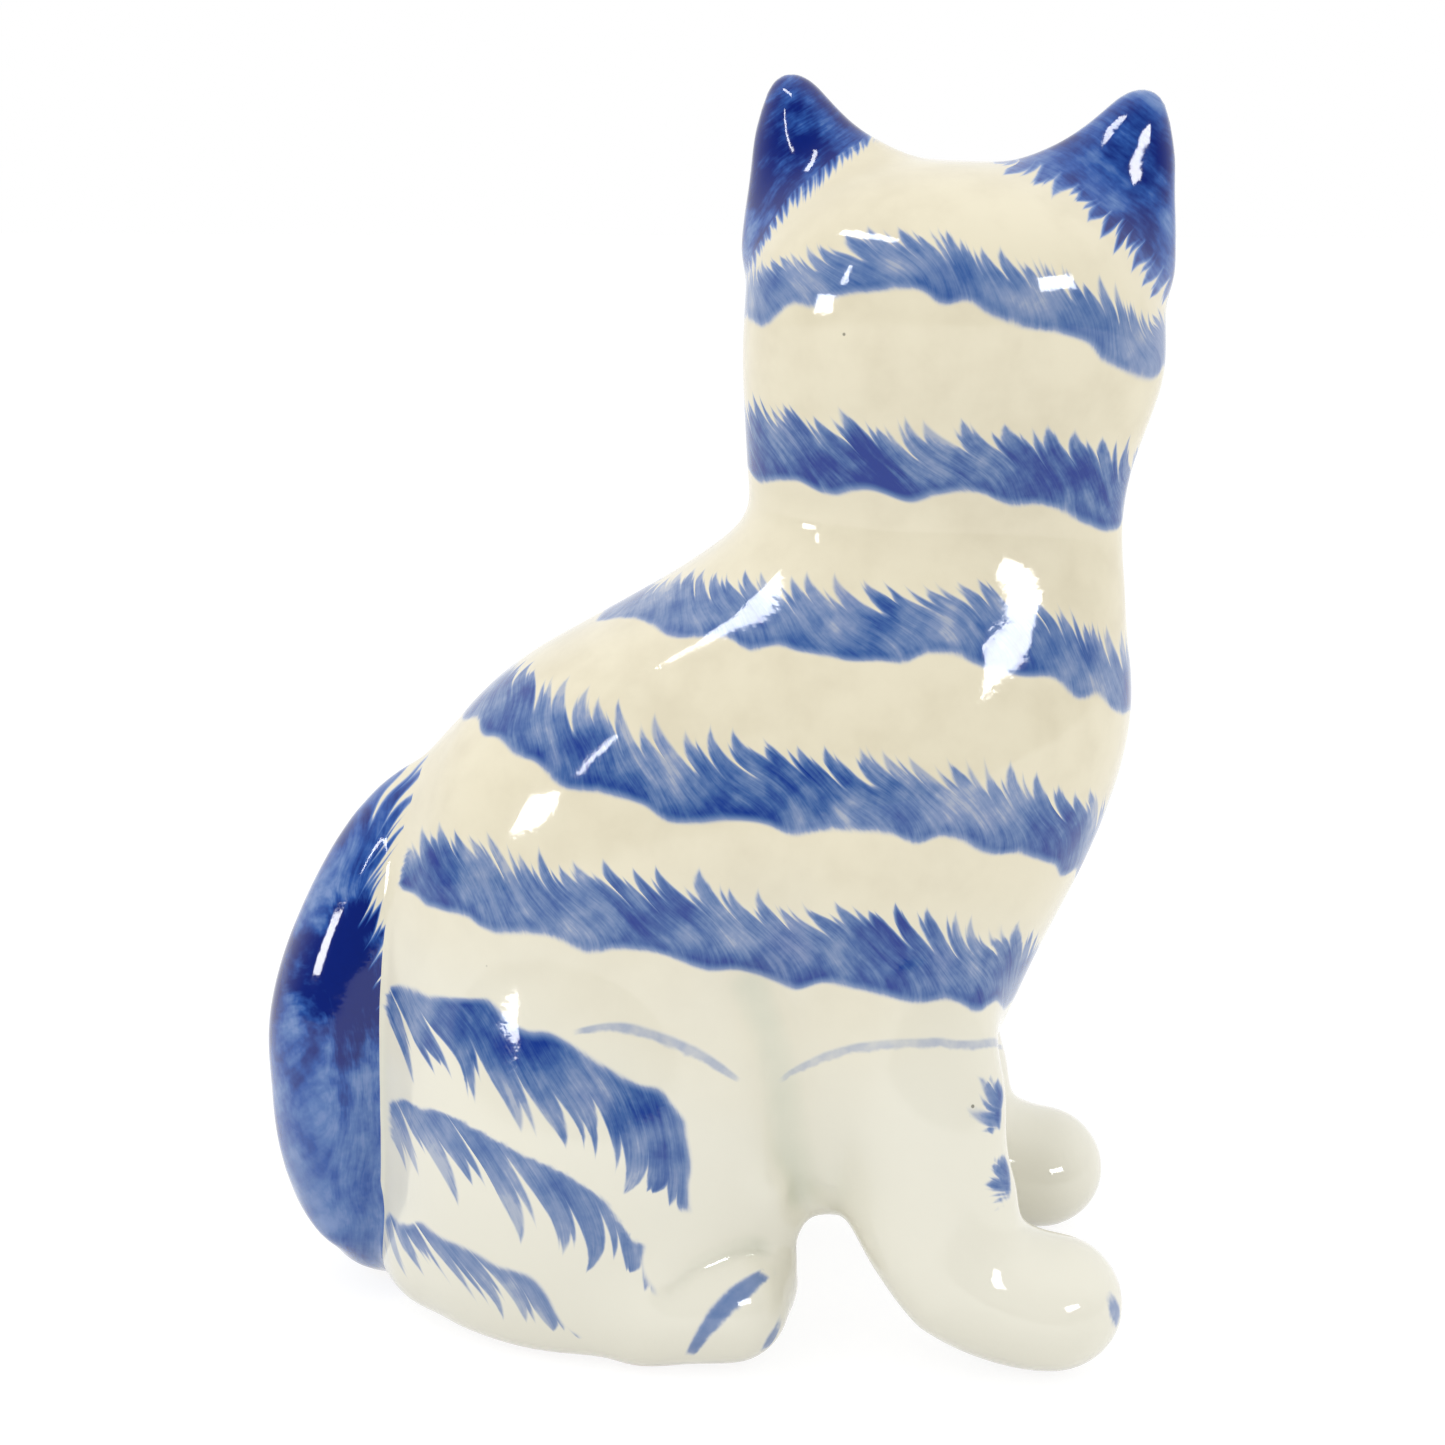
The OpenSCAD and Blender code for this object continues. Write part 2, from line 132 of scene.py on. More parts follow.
def node_field(name):
    """Signed distance to a cast piece, in millimetres, over the grid."""
    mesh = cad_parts[name].data
    points = np.zeros(len(mesh.vertices) * 3, np.float32)
    mesh.vertices.foreach_get("co", points)
    mesh.calc_loop_triangles()
    corners = np.zeros(len(mesh.loop_triangles) * 3, np.int32)
    mesh.loop_triangles.foreach_get("vertices", corners)
    level = openvdb.FloatGrid.createLevelSetFromPolygons(
        (points / MM).astype(np.float32).reshape(-1, 3),
        triangles=corners.astype(np.uint32).reshape(-1, 3),
        transform=GRID_STEP,
        halfWidth=BAND / VOXEL,
    )
    field = np.zeros(GRID_HIGH - GRID_LOW + 1, np.float32)
    level.copyToArray(field, ijk=tuple(int(k) for k in GRID_LOW))
    return field


def blurred(field, sigma):
    """Field averaged with a bell curve of that width in millimetres."""
    span = math.ceil(3 * sigma / VOXEL)
    weights = np.exp(-0.5 * (np.arange(-span, span + 1) * VOXEL / sigma) ** 2)
    weights = (weights / weights.sum()).astype(np.float32)
    for axis in range(3):
        room = [(span, span) if a == axis else (0, 0) for a in range(3)]
        padded = np.moveaxis(np.pad(field, room, mode="edge"), axis, 0)
        size = field.shape[axis]
        total = sum(w * padded[k:k + size] for k, w in enumerate(weights))
        field = np.moveaxis(total, 0, axis)
    return np.ascontiguousarray(field)


def joined(a, b, radius):
    """Union of two fields with a fillet of about that radius in the crease."""
    near = np.maximum(radius - np.abs(a - b), 0) / radius
    return np.minimum(a, b) - near * near * radius / 4


def seen_from_outside(solid):
    """Places of the grid with a straight way out along some axis, but not down through the vent."""
    seen = np.zeros(solid.shape, bool)
    for axis in range(3):
        seen |= ~np.flip(np.logical_or.accumulate(np.flip(solid, axis), axis), axis)
        if axis < 2:
            seen |= ~np.logical_or.accumulate(solid, axis)
    return seen


def skin_field(fields):
    """Outer form of the whole figure: fillets in the creases, no seams and no hollows."""
    union = np.minimum.reduce(list(fields.values()))
    whole = np.minimum(fields["trunk"], fields["head"])
    luted = {name: field for name, field in fields.items() if name not in ("trunk", "head")}
    for name, field in luted.items():
        kind = name.removesuffix("_right").removesuffix("_left")
        whole = joined(whole, field, FILLET[kind])
    whole[~seen_from_outside(union <= SLIT) & (union > SLIT)] = CAVITY_DEPTH
    whole = np.clip(whole, -BAND, BAND)
    near = np.minimum.reduce(list(luted.values()))
    broad = np.clip((near - BROAD_FROM) / BROAD_OVER, 0, 1)
    broad = broad * broad * (3 - 2 * broad)
    form = blurred(whole, FINE_BLUR) * (1 - broad) + blurred(whole, BROAD_BLUR) * broad
    x, y, z = (grid_axis(axis) for axis in range(3))
    vent = np.maximum(np.hypot(x - VENT_AT[0], y - VENT_AT[1]) - VENT_RADIUS, z - VENT_DEPTH)
    return np.maximum(np.maximum(form, -vent), -z).astype(np.float32)


def sample(field, points):
    """Value of a field at points in millimetres, between its own places."""
    place = points / VOXEL - GRID_LOW
    base = np.clip(np.floor(place).astype(int), 0, np.array(field.shape) - 2)
    share = place - base
    total = np.zeros(len(points))
    for corner in np.ndindex(2, 2, 2):
        weight = np.prod(np.where(corner, share, 1 - share), axis=1)
        total += weight * field[tuple((base + corner).T)]
    return total


def slope(field, points):
    """Gradient of a field at points in millimetres."""
    step = np.eye(3) * VOXEL
    ahead = [sample(field, points + d) - sample(field, points - d) for d in step]
    return np.stack(ahead, axis=1) / (2 * VOXEL)


def unit(vectors):
    return vectors / np.maximum(np.linalg.norm(vectors, axis=-1, keepdims=True), 1e-9)


def settle(points, field):
    """Moves points straight onto the surface where a field is zero."""
    for _ in range(SETTLE_STEPS):
        grade = slope(field, points)
        steep = np.maximum((grade ** 2).sum(1), LEAST_STEEP)
        points = points - grade * (sample(field, points) / steep)[:, None]
    return points


def skin_mesh(field):
    """Points and four-sided faces of the surface where a field is zero, faces turned outwards."""
    level = openvdb.FloatGrid(BAND)
    level.transform = GRID_STEP
    level.copyFromArray(field, ijk=tuple(int(k) for k in GRID_LOW))
    points, _, quads = level.convertToPolygons(0.0, 0.0)
    points = settle(points.astype(float), field)
    quads = quads.astype(int)
    a, b, c, d = (points[quads[:, k]] for k in range(4))
    out = slope(field, (a + b + c + d) / 4)
    if (np.cross(c - a, d - b) * out).sum() < 0:
        quads = quads[:, ::-1]
    return points, quads


def owners(points, fields):
    """Number of the cast piece that lies closest to each point."""
    return np.argmin([sample(field, points) for field in fields.values()], axis=0)


def tidy_owners(quads, owner):
    """Gives each small island of faces to the piece round it, so that every piece is in one part."""
    sides = np.sort(np.stack([quads, np.roll(quads, -1, 1)], 2).reshape(-1, 2), axis=1)
    order = np.lexsort(sides.T)
    same = (sides[order][1:] == sides[order][:-1]).all(1)
    pairs = np.stack([order[:-1][same] // 4, order[1:][same] // 4], 1)
    group = np.arange(len(quads))
    alike = pairs[owner[pairs[:, 0]] == owner[pairs[:, 1]]]
    while True:
        low = np.minimum(group[alike[:, 0]], group[alike[:, 1]])
        before = group.copy()
        np.minimum.at(group, alike[:, 0], low)
        np.minimum.at(group, alike[:, 1], low)
        group = group[group]
        if (group == before).all():
            break
    size = np.bincount(group, minlength=len(quads))
    largest = {piece: size[group[owner == piece]].max() for piece in np.unique(owner)}
    small = size[group] < np.array([largest[piece] for piece in owner])
    while small.any():
        for inner, outer in (pairs.T, pairs.T[::-1]):
            take = small[inner] & ~small[outer]
            owner[inner[take]] = owner[outer[take]]
            small[inner[take]] = False
    return owner


def true_seams(points, quads, owner, fields, field):
    """Moves the points between two pieces onto the line midway between them, along the skin."""
    names = list(fields)
    touching = {}
    for corner in range(4):
        for vertex, piece in zip(quads[:, corner], owner):
            touching.setdefault(vertex, set()).add(piece)
    pairs = {}
    for vertex, pieces in touching.items():
        if len(pieces) == 2:
            pairs.setdefault(tuple(sorted(pieces)), []).append(vertex)
    moved = points.copy()
    for (first, second), vertices in pairs.items():
        gap = fields[names[first]] - fields[names[second]]
        place = moved[vertices]
        start = place.copy()
        for _ in range(SETTLE_STEPS):
            normal = unit(slope(field, place))
            grade = slope(gap, place)
            grade -= normal * (grade * normal).sum(1, keepdims=True)
            steep = np.maximum((grade ** 2).sum(1), SEAM_STEEP)
            place = place - grade * (sample(gap, place) / steep)[:, None]
        shift = place - start
        far = np.linalg.norm(shift, axis=1, keepdims=True)
        place = start + shift * np.minimum(1, SEAM_SHIFT * VOXEL / np.maximum(far, 1e-6))
        moved[vertices] = settle(place, field)
    return moved


# Places on the skin behind pixels of the photograph

MIRROR = np.array([1.0, -1.0, 1.0])
STROKE_STEP = 0.5
PIXEL_STEP = 2


def photo_ray(pixel):
    """Direction from the camera through a pixel of the photograph."""
    right, up, forward = camera_axes()
    across = (pixel[0] - PHOTO_SIZE / 2) / FOCAL_PX
    down = (pixel[1] - PHOTO_SIZE / 2) / FOCAL_PX
    return unit(forward + right * across - up * down)


def on_skin(pixel):
    """Point of the skin behind a pixel, or behind the next one inwards that meets the skin."""
    pixel = np.array(pixel, float)
    middle = np.array([PHOTO_SIZE, PHOTO_SIZE]) / 2
    while True:
        hit = SKIN_TREE.ray_cast(Vector(CAMERA_AT), Vector(photo_ray(pixel)))[0]
        if hit is not None:
            return np.array(hit)
        pixel += unit(middle - pixel) * PIXEL_STEP


def all_on_skin(pixels):
    return [on_skin(pixel) for pixel in pixels]


def snapped(place):
    """Nearest point of the skin, and the way it faces."""
    spot, facing, _, _ = SKIN_TREE.find_nearest(Vector(place))
    return np.array(spot), np.array(facing)


def smooth_path(knots, open_start, open_end):
    """Evenly stepped curve on the skin through points near it, level where it meets its mirror image."""
    knots = np.array(knots)
    before = 2 * knots[0] - knots[1] if open_start else knots[1] * MIRROR
    after = 2 * knots[-1] - knots[-2] if open_end else knots[-2] * MIRROR
    padded = np.vstack([before, knots, after])
    path = []
    for a, b, c, d in zip(padded, padded[1:], padded[2:], padded[3:]):
        count = max(2, math.ceil(np.linalg.norm(c - b) / STROKE_STEP))
        for t in np.arange(count) / count:
            bend = 2 * a - 5 * b + 4 * c - d + (3 * b - a - 3 * c + d) * t
            path.append(b + 0.5 * t * (c - a + t * bend))
    path.append(knots[-1])
    return np.array([snapped(place)[0] for place in path])


# Creases: soft grooves and swellings of the form, through listed pixels of the photograph.
# Each row: pixels, depth in millimetres, less than 0 for a swelling, width, and on how many sides.

HAUNCH_CREASE = [(752, 992), (767, 1030), (779, 1072), (788, 1130), (797, 1195)]
FOOT_CREASE = [(672, 1290), (700, 1266), (735, 1251), (760, 1247)]
HAUNCH_FRONT = [(777, 1195), (781, 1228), (785, 1258)]
HAUNCH_BASE = [(470, 1316), (520, 1334), (570, 1343), (615, 1347)]
LEG_FRONT = [(990, 1095), (992, 1150), (1003, 1188)]
LEG_BACK = [(846, 1206), (872, 1236), (900, 1275), (930, 1310)]
TAIL_HEEL = [(345, 1238), (368, 1248), (392, 1256), (414, 1274)]
TAIL_SIDE = [(270, 1100), (282, 1155), (300, 1205), (320, 1232)]
CHEEK = [(1140, 395), (1126, 432), (1110, 475), (1102, 520), (1106, 580)]
CREASES = [
    (HAUNCH_CREASE, 1.9, 2.0, 2),
    (FOOT_CREASE, 0.8, 1.0, 2),
    (HAUNCH_FRONT, -1.6, 2.6, 2),
    (HAUNCH_BASE, -1.4, 5.0, 2),
    (LEG_FRONT, -1.5, 4.0, 2),
    (LEG_BACK, -1.8, 4.0, 2),
    (TAIL_HEEL, -2.6, 5.0, 1),
    (TAIL_SIDE, 1.6, 6.0, 1),
    (CHEEK, -1.5, 7.0, 1),
]
CREASE_REACH = 4.0

# Low end of the tail: height and far side at which it stops reaching under the trunk, and how far it reaches
HEEL_TOP = 20.0
HEEL_SIDE = 10.0
HEEL_REACH = 10.0


def pressed(field, line, depth, wide):
    """Presses a soft groove into a field along a line, or swells it where the depth is less than 0."""
    low = np.floor((line.min(0) - wide * CREASE_REACH) / VOXEL).astype(int) - GRID_LOW
    high = np.ceil((line.max(0) + wide * CREASE_REACH) / VOXEL).astype(int) - GRID_LOW
    low = np.maximum(low, 0)
    high = np.minimum(high, field.shape)
    block = tuple(slice(a, b) for a, b in zip(low, high))
    place = np.indices(high - low).reshape(3, -1).T
    place = (place + low + GRID_LOW) * VOXEL
    away = (place ** 2).sum(1)[:, None] + (line ** 2).sum(1) - 2 * place @ line.T
    press = depth * np.exp(-away.min(1) / (2 * wide ** 2))
    field[block] += press.reshape(high - low).astype(np.float32)


def creased(field):
    """Field with all creases and swellings pressed into it, and cut level at the foot."""
    field = field.copy()
    for pixels, depth, wide, sides in CREASES:
        line = smooth_path(all_on_skin(pixels), True, True)[::2]
        for side in (line, line * MIRROR)[:sides]:
            pressed(field, side, depth, wide)
    return np.maximum(field, -grid_axis(2)).astype(np.float32)


def heeled(field):
    """Field of the tail with its low end drawn on under the trunk, on the side in the photograph."""
    low = np.clip((HEEL_TOP - grid_axis(2)) / HEEL_TOP, 0, 1)
    near = np.clip((HEEL_SIDE - grid_axis(1)) / HEEL_SIDE, 0, 1)
    close = np.clip(1 - field / BAND, 0, 1)
    return field - HEEL_REACH * low * near * close


add_camera()
fields = {name: node_field(name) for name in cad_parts}
form = skin_field(fields)
SKIN_TREE = BVHTree.FromPolygons(*(part.tolist() for part in skin_mesh(form)))
form = creased(form)
fields["tail"] = heeled(fields["tail"])
points, quads = skin_mesh(form)
owner = tidy_owners(quads, owners(points[quads].mean(1), fields))
points = true_seams(points, quads, owner, fields, form)
normals = unit(slope(blurred(form, SHEEN_BLUR), points))
SKIN_TREE = BVHTree.FromPolygons(points.tolist(), quads.tolist())


def loose_groups(edges):
    """Groups of edges that share points, as lists of edge numbers."""
    parent = {}

    def root(k):
        while parent.setdefault(k, k) != k:
            k = parent[k]
        return k

    for a, b in edges:
        parent[root(a)] = root(b)
    groups = {}
    for number, (a, _) in enumerate(edges):
        groups.setdefault(root(a), []).append(number)
    return list(groups.values())


def piece_mesh(name, faces):
    """Closed mesh of one piece: its share of the skin, with a hidden cap over each seam."""
    used, corners = np.unique(faces, return_inverse=True)
    corners = corners.reshape(faces.shape)
    edges = {}
    for k in range(4):
        for a, b in zip(corners[:, k], corners[:, (k + 1) % 4]):
            edges[(a, b)] = edges.get((a, b), 0) + 1
    rim = [edge for edge in edges if edge[::-1] not in edges]
    place = points[used]
    facing = normals[used]
    polygons = corners.tolist()
    for group in loose_groups(rim):
        ring = sorted({rim[k][0] for k in group})
        middle = len(place)
        place = np.vstack([place, place[ring].mean(0)])
        facing = np.vstack([facing, unit(facing[ring].mean(0))])
        polygons += [[rim[k][1], rim[k][0], middle] for k in group]
    mesh = bpy.data.meshes.new(name)
    mesh.from_pydata((place * MM).tolist(), [], polygons)
    mesh.shade_smooth()
    mesh.normals_split_custom_set_from_vertices(facing.tolist())
    return mesh


# Paint: brush strokes, each through listed pixels of the photograph, from the back towards the chest.
# Half width, and length of the hair strokes along the ragged edge, are in millimetres. Lean is their slant.
# Turn is how far a band carries on round the head, in degrees. A ring meets its mirror image on the back.

STROKE_SOFT = 1.2
STROKE_GAP = 2.2
LOBE_ROOM = 3.6
HAIR_ROOM = 1.3
END_ROOM = 6.0
TAPER = 10.0
TAPER_LEAD = 2.0
END_WIDTH = 0.35
LEAST_FACING = 0.1
TURN_STEPS = 4
ENDLESS = 60.0
MIDLINE_HEIGHTS = np.arange(30.0, 118.0, 1.0)
FAR = 60.0

BROW_BAND = [
    (757, 300), (815, 278), (870, 271), (930, 270),
    (1000, 290), (1050, 304), (1100, 326), (1145, 350),
]
NAPE_BAND = [
    (757, 447), (800, 455), (860, 463), (910, 467),
    (960, 466), (1010, 470), (1060, 482), (1108, 496),
]
SHOULDER_BAND = [
    (632, 606), (662, 604), (700, 611), (770, 619), (850, 629),
    (930, 627), (1000, 635), (1060, 654), (1105, 672), (1130, 684),
]
BACK_BAND = [
    (486, 688), (514, 710), (540, 730), (575, 750), (640, 772), (700, 788), (770, 792),
    (830, 801), (900, 804), (960, 809), (1010, 820), (1060, 836), (1090, 844), (1112, 850),
]
FLANK_BAND = [
    (402, 868), (440, 880), (490, 893), (560, 910), (640, 922), (700, 930),
    (760, 948), (830, 955), (900, 961), (960, 972), (1000, 972), (1036, 968),
]
HAUNCH_SPRAY = [
    (386, 1003), (425, 1018), (470, 1028), (510, 1050), (560, 1076),
    (610, 1098), (655, 1130), (684, 1165), (698, 1206),
]
HIP_SPRAY = [
    (388, 1112), (430, 1126), (480, 1148), (530, 1172),
    (580, 1198), (622, 1228), (648, 1260), (661, 1292),
]
FOOT_SPRAY = [(384, 1222), (430, 1243), (480, 1266), (520, 1286), (560, 1314), (585, 1334)]
LEG_DAB = [(996, 1080), (994, 1104), (998, 1130)]
LOW_LEG_DAB = [(1000, 1156), (1002, 1178), (1008, 1200)]

BANDS = [
    dict(px=BROW_BAND, half=3.6, hair=2.6, lean=1.3, tone=0.72, turn=36),
    dict(px=NAPE_BAND, half=4.6, hair=3.9, lean=1.2, tone=1.20, turn=42),
    dict(px=SHOULDER_BAND, half=4.5, hair=3.4, lean=1.3, tone=0.86, ring=True),
    dict(px=BACK_BAND, half=4.9, hair=3.7, lean=1.3, tone=1.00, ring=True),
    dict(px=FLANK_BAND, half=4.9, hair=3.6, lean=1.3, tone=1.02),
]
SPRAYS = [
    dict(px=HAUNCH_SPRAY, half=4.3, hair=7.0, lean=-1.7, tone=0.92),
    dict(px=HIP_SPRAY, half=3.2, hair=7.0, lean=-1.8, tone=0.74),
    dict(px=FOOT_SPRAY, half=2.2, hair=5.0, lean=-1.8, tone=0.66),
    dict(px=LEG_DAB, half=3.6, hair=2.4, lean=0.9, tone=0.80),
    dict(px=LOW_LEG_DAB, half=3.2, hair=1.8, lean=0.9, tone=0.95),
]
HAUNCH_ARC = [(572, 1032), (616, 1027), (655, 1036), (690, 1050), (717, 1065), (742, 1083)]
LEG_ARC = [(776, 1084), (800, 1068), (830, 1055), (870, 1046), (920, 1043), (970, 1045), (1003, 1047)]
HIND_ARC = [(688, 1356), (703, 1335), (722, 1310), (745, 1288), (766, 1274), (775, 1271)]
HIND_TOE = [(763, 1353), (772, 1338), (781, 1318)]
PAW_DAB = [(1108, 1294), (1115, 1310), (1119, 1328)]
LINES = [
    dict(px=HAUNCH_ARC, half=0.9, tone=0.22),
    dict(px=LEG_ARC, half=0.8, tone=0.19),
    dict(px=HIND_ARC, half=1.4, tone=0.46),
    dict(px=HIND_TOE, half=2.3, tone=0.42),
    dict(px=PAW_DAB, half=2.6, tone=0.34),
]


def head_box():
    """Low and high corners of the head, in millimetres."""
    return [np.array(corner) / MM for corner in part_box("head")]


def carried_round(start, middle, degrees):
    """Points that carry a stroke on round an upright axis, level on the skin."""
    found = []
    for k in range(1, TURN_STEPS + 1):
        angle = math.radians(degrees * k / TURN_STEPS)
        x, y = (start - middle)[:2]
        cosine = math.cos(angle)
        sine = math.sin(angle)
        turned = np.array([x * cosine - y * sine, x * sine + y * cosine, 0])
        found.append(snapped(turned + [middle[0], middle[1], start[2]])[0])
    return found


def stroke(knots, hand, spec, open_start=True, open_end=True):
    """A stroke ready to lay: its path, directions along and across it, and length along it."""
    path = smooth_path(knots, open_start, open_end)
    facing = np.array([snapped(place)[1] for place in path])
    ahead = unit(np.gradient(path, axis=0))
    side = unit(np.cross(facing, ahead)) * hand
    length = np.concatenate([[0], np.cumsum(np.linalg.norm(np.diff(path, axis=0), axis=1))])
    room = (0.0 if open_start else ENDLESS, 0.0 if open_end else ENDLESS)
    ways = {"facing": facing, "ahead": ahead, "side": side}
    return {**spec, **ways, "path": path, "length": length, "room": room}


def both_sides(knots, hand, spec, open_start=True, open_end=True):
    """A stroke on the side in the photograph and its mirror image on the far side."""
    mirrored = [knot * MIRROR for knot in knots]
    ends = (open_start, open_end)
    return [stroke(knots, hand, spec, *ends), stroke(mirrored, -hand, spec, *ends)]


def pixel_of(place):
    """Pixel of the photograph at which a place shows."""
    right, up, forward = camera_axes()
    offset = np.array(place) - CAMERA_AT
    scale = FOCAL_PX / (offset @ forward)
    return np.array([PHOTO_SIZE / 2 + (offset @ right) * scale, PHOTO_SIZE / 2 - (offset @ up) * scale])


def midline_at(pixel, way):
    """Point of the back (way -1) or the chest (way 1) on the middle plane that shows nearest to a pixel."""
    starts = [Vector((way * 3 * FAR, 0, height)) for height in MIDLINE_HEIGHTS]
    found = [SKIN_TREE.ray_cast(start, Vector((-way, 0, 0)))[0] for start in starts]
    return np.array(min(found, key=lambda place: np.linalg.norm(pixel_of(place) - pixel)))


def band_strokes(spec):
    """Ragged bands: round the head from cheek to cheek, and round the trunk in two mirrored halves."""
    if "turn" in spec:
        knots = all_on_skin(spec["px"])
        middle = sum(head_box()) / 2
        before = carried_round(knots[0], middle, -spec["turn"])[::-1]
        return [stroke(before + knots + carried_round(knots[-1], middle, spec["turn"]), 1, spec)]
    ring = spec.get("ring", False)
    first, *between, last = spec["px"]
    start = midline_at(first, -1) if ring else on_skin(first)
    knots = [start] + all_on_skin(between) + [midline_at(last, 1)]
    return both_sides(knots, 1, spec, not ring, False)


def all_strokes():
    """Bands and sprays, then thin lines, as families of strokes that flow into one another."""
    bands = [band_strokes(spec) for spec in BANDS]
    bands += [both_sides(all_on_skin(spec["px"]), -1, spec) for spec in SPRAYS]
    plain = [{"hair": 0.0, "lean": 0.0, **spec} for spec in LINES]
    lines = [both_sides(all_on_skin(spec["px"]), 1, spec) for spec in plain]
    return bands, lines


def stroke_places(made):
    """Skin points near a stroke, how far inside its room each lies, and the values that each would carry."""
    upper = made["half"] + made["hair"] * HAIR_ROOM + STROKE_SOFT
    lower = made["half"] + LOBE_ROOM
    path = made["path"]
    room = upper + END_ROOM
    near = np.flatnonzero(((points > path.min(0) - room) & (points < path.max(0) + room)).all(1))
    away = (points[near] ** 2).sum(1)[:, None] + (path ** 2).sum(1) - 2 * points[near] @ path.T
    k = away.argmin(1)
    offset = points[near] - path[k]
    along = made["length"][k] + (offset * made["ahead"][k]).sum(1)
    across = (offset * made["side"][k]).sum(1)
    left = made["length"][-1] - along
    before, after = made["room"]
    start = along + before
    finish = left + after
    end = np.minimum(start, finish)
    inside = np.minimum(np.minimum(upper - across, lower + across), end + END_ROOM)
    past = np.maximum(-along if before else -FAR, -left if after else -FAR)
    inside[past > STROKE_STEP] = -FAR
    inside[(normals[near] * made["facing"][k]).sum(1) < LEAST_FACING] = -FAR
    inside[np.abs((offset * made["facing"][k]).sum(1)) > upper] = -FAR
    half = made["half"] * (END_WIDTH + (1 - END_WIDTH) * np.clip((end + TAPER_LEAD) / TAPER, 0, 1))
    return near, inside, np.stack([start, across, finish, half], 1)


def laid(families):
    """Place of each skin point along and across its stroke, room to its end, the stroke's form, its ink."""
    place = np.tile([0.0, FAR, -FAR], (len(points), 1))
    form = np.tile([1.0, 1.0, 0.0], (len(points), 1))
    ink = np.zeros((len(points), 3))
    best = np.full(len(points), -FAR)
    second = np.full(len(points), -FAR)
    for seed, family in enumerate(families):
        own = np.full(len(points), -FAR)
        values = np.zeros((len(points), 4))
        for made in family:
            near, inside, found = stroke_places(made)
            take = inside > own[near]
            own[near[take]] = inside[take]
            values[near[take]] = found[take]
        better = own > best
        second = np.where(better, best, np.maximum(second, own))
        best = np.where(better, own, best)
        place[better] = values[better, :3]
        form[better, 0] = values[better, 3]
        form[better, 1:] = family[0]["hair"], family[0]["lean"]
        ink[better, 1:] = family[0]["tone"], seed
    ink[:, 0] = np.clip(best / STROKE_SOFT, 0, 1) * np.clip((best - second - STROKE_GAP) / STROKE_SOFT, 0, 1)
    return {"place": place, "form": form, "ink": ink}


# Paint: washes of solid cobalt over the ears and the tail, up to a ragged edge

LEFT_EAR_EDGE = [(866, 150), (748, 264)]
RIGHT_EAR_EDGE = [(1009, 155), (1168, 296)]
EAR_BOW = (1.4, 2.9)
EAR_HAIR = (1.1, 2.2)
EAR_EDGE_TILT = 0.3
EAR_TONE = (1.6, 1.1)
EAR_LEAN = 0.4
EAR_SLANT = 0.2
EAR_SEED = 3
TAIL_EDGE = (-3.8, 2.4)
TAIL_HAIR = 3.2
TAIL_RAGGED = (42.0, 64.0)
TAIL_DARK_AT = (330, 975)
TAIL_DARK_SIZE = 12.0
TAIL_TONE = (0.86, 0.95)
TAIL_LEAN = 0.9
TAIL_SEED = 9


def ear_wash():
    """Wash coordinates on the head: along the ragged edge of each ear, and across it to the bare glaze."""
    place = np.tile([0.0, FAR, ENDLESS], (len(points), 1))
    form = np.tile([0.0, 1.0, 0.0], (len(points), 1))
    ink = np.zeros((len(points), 3))
    ears = zip((LEFT_EAR_EDGE, RIGHT_EAR_EDGE), (-1, 1), EAR_BOW, EAR_HAIR, EAR_TONE)
    for seed, (edge, outer, bow, hair, tone) in enumerate(ears, 1):
        top, low = all_on_skin(edge)
        along = unit(low - top)
        blue = unit(np.cross(along, [0, 1, 0]) * outer)
        share = 2 * ((points - top) @ along) / np.linalg.norm(low - top) - 1
        raised = bow * np.maximum(1 - share ** 2, 0) + EAR_EDGE_TILT * np.maximum(points[:, 1], 0)
        depth = (points - top) @ blue - raised
        take = depth > -hair * 2
        place[take, 0] = ((points - top) @ along + EAR_SLANT * points[:, 1])[take]
        place[take, 1] = -depth[take]
        form[take, 1:] = hair, EAR_LEAN * outer
        ink[take] = 1.0, tone, seed * EAR_SEED
    return {"place": place, "form": form, "ink": ink}


def tail_wash():
    """Wash coordinates on the tail: along it, and across it towards the crease at the trunk."""
    edge = np.interp(points[:, 2], TAIL_RAGGED, TAIL_EDGE)
    across = edge - sample(fields["trunk"], points)
    dark = np.exp(-((points - on_skin(TAIL_DARK_AT)) ** 2).sum(1) / (2 * TAIL_DARK_SIZE ** 2))
    tone = TAIL_TONE[0] + TAIL_TONE[1] * dark
    same = np.ones(len(points))
    place = np.stack([points[:, 0] - points[:, 2], across, ENDLESS * same], 1)
    form = np.stack([0 * same, TAIL_HAIR * same, TAIL_LEAN * same], 1)
    return {"place": place, "form": form, "ink": np.stack([same, tone, TAIL_SEED * same], 1)}


# Face: painted on the far side of the head, laid out in millimetres across and above the neck rim

FACE_TURN = 86.0
FACE_FACING = 0.1
FACE_SOFT = 0.15
FACE_DEPTH = 4.0
NECK_DROP = 8.0
NECK_SOFT = 2.0


def face_places():
    """Place of each skin point on the face: across, up from the neck rim, and whether it is on the face."""
    low, high = head_box()
    turn = math.radians(FACE_TURN)
    ahead = np.array([math.cos(turn), math.sin(turn), 0])
    left = np.array([-math.sin(turn), math.cos(turn), 0])
    offset = points - (low + high) / 2
    up = points[:, 2] - low[2] - NECK_DROP
    front = np.clip((normals @ ahead - FACE_FACING) / FACE_SOFT, 0, 1)
    front *= np.clip((offset @ ahead - FACE_DEPTH) / FACE_DEPTH, 0, 1)
    front *= np.clip(up / NECK_SOFT, 0, 1)
    return np.stack([offset @ left, up, front], 1)


# Glaze: where it pools in the creases, how green it is, and where the clay is bare

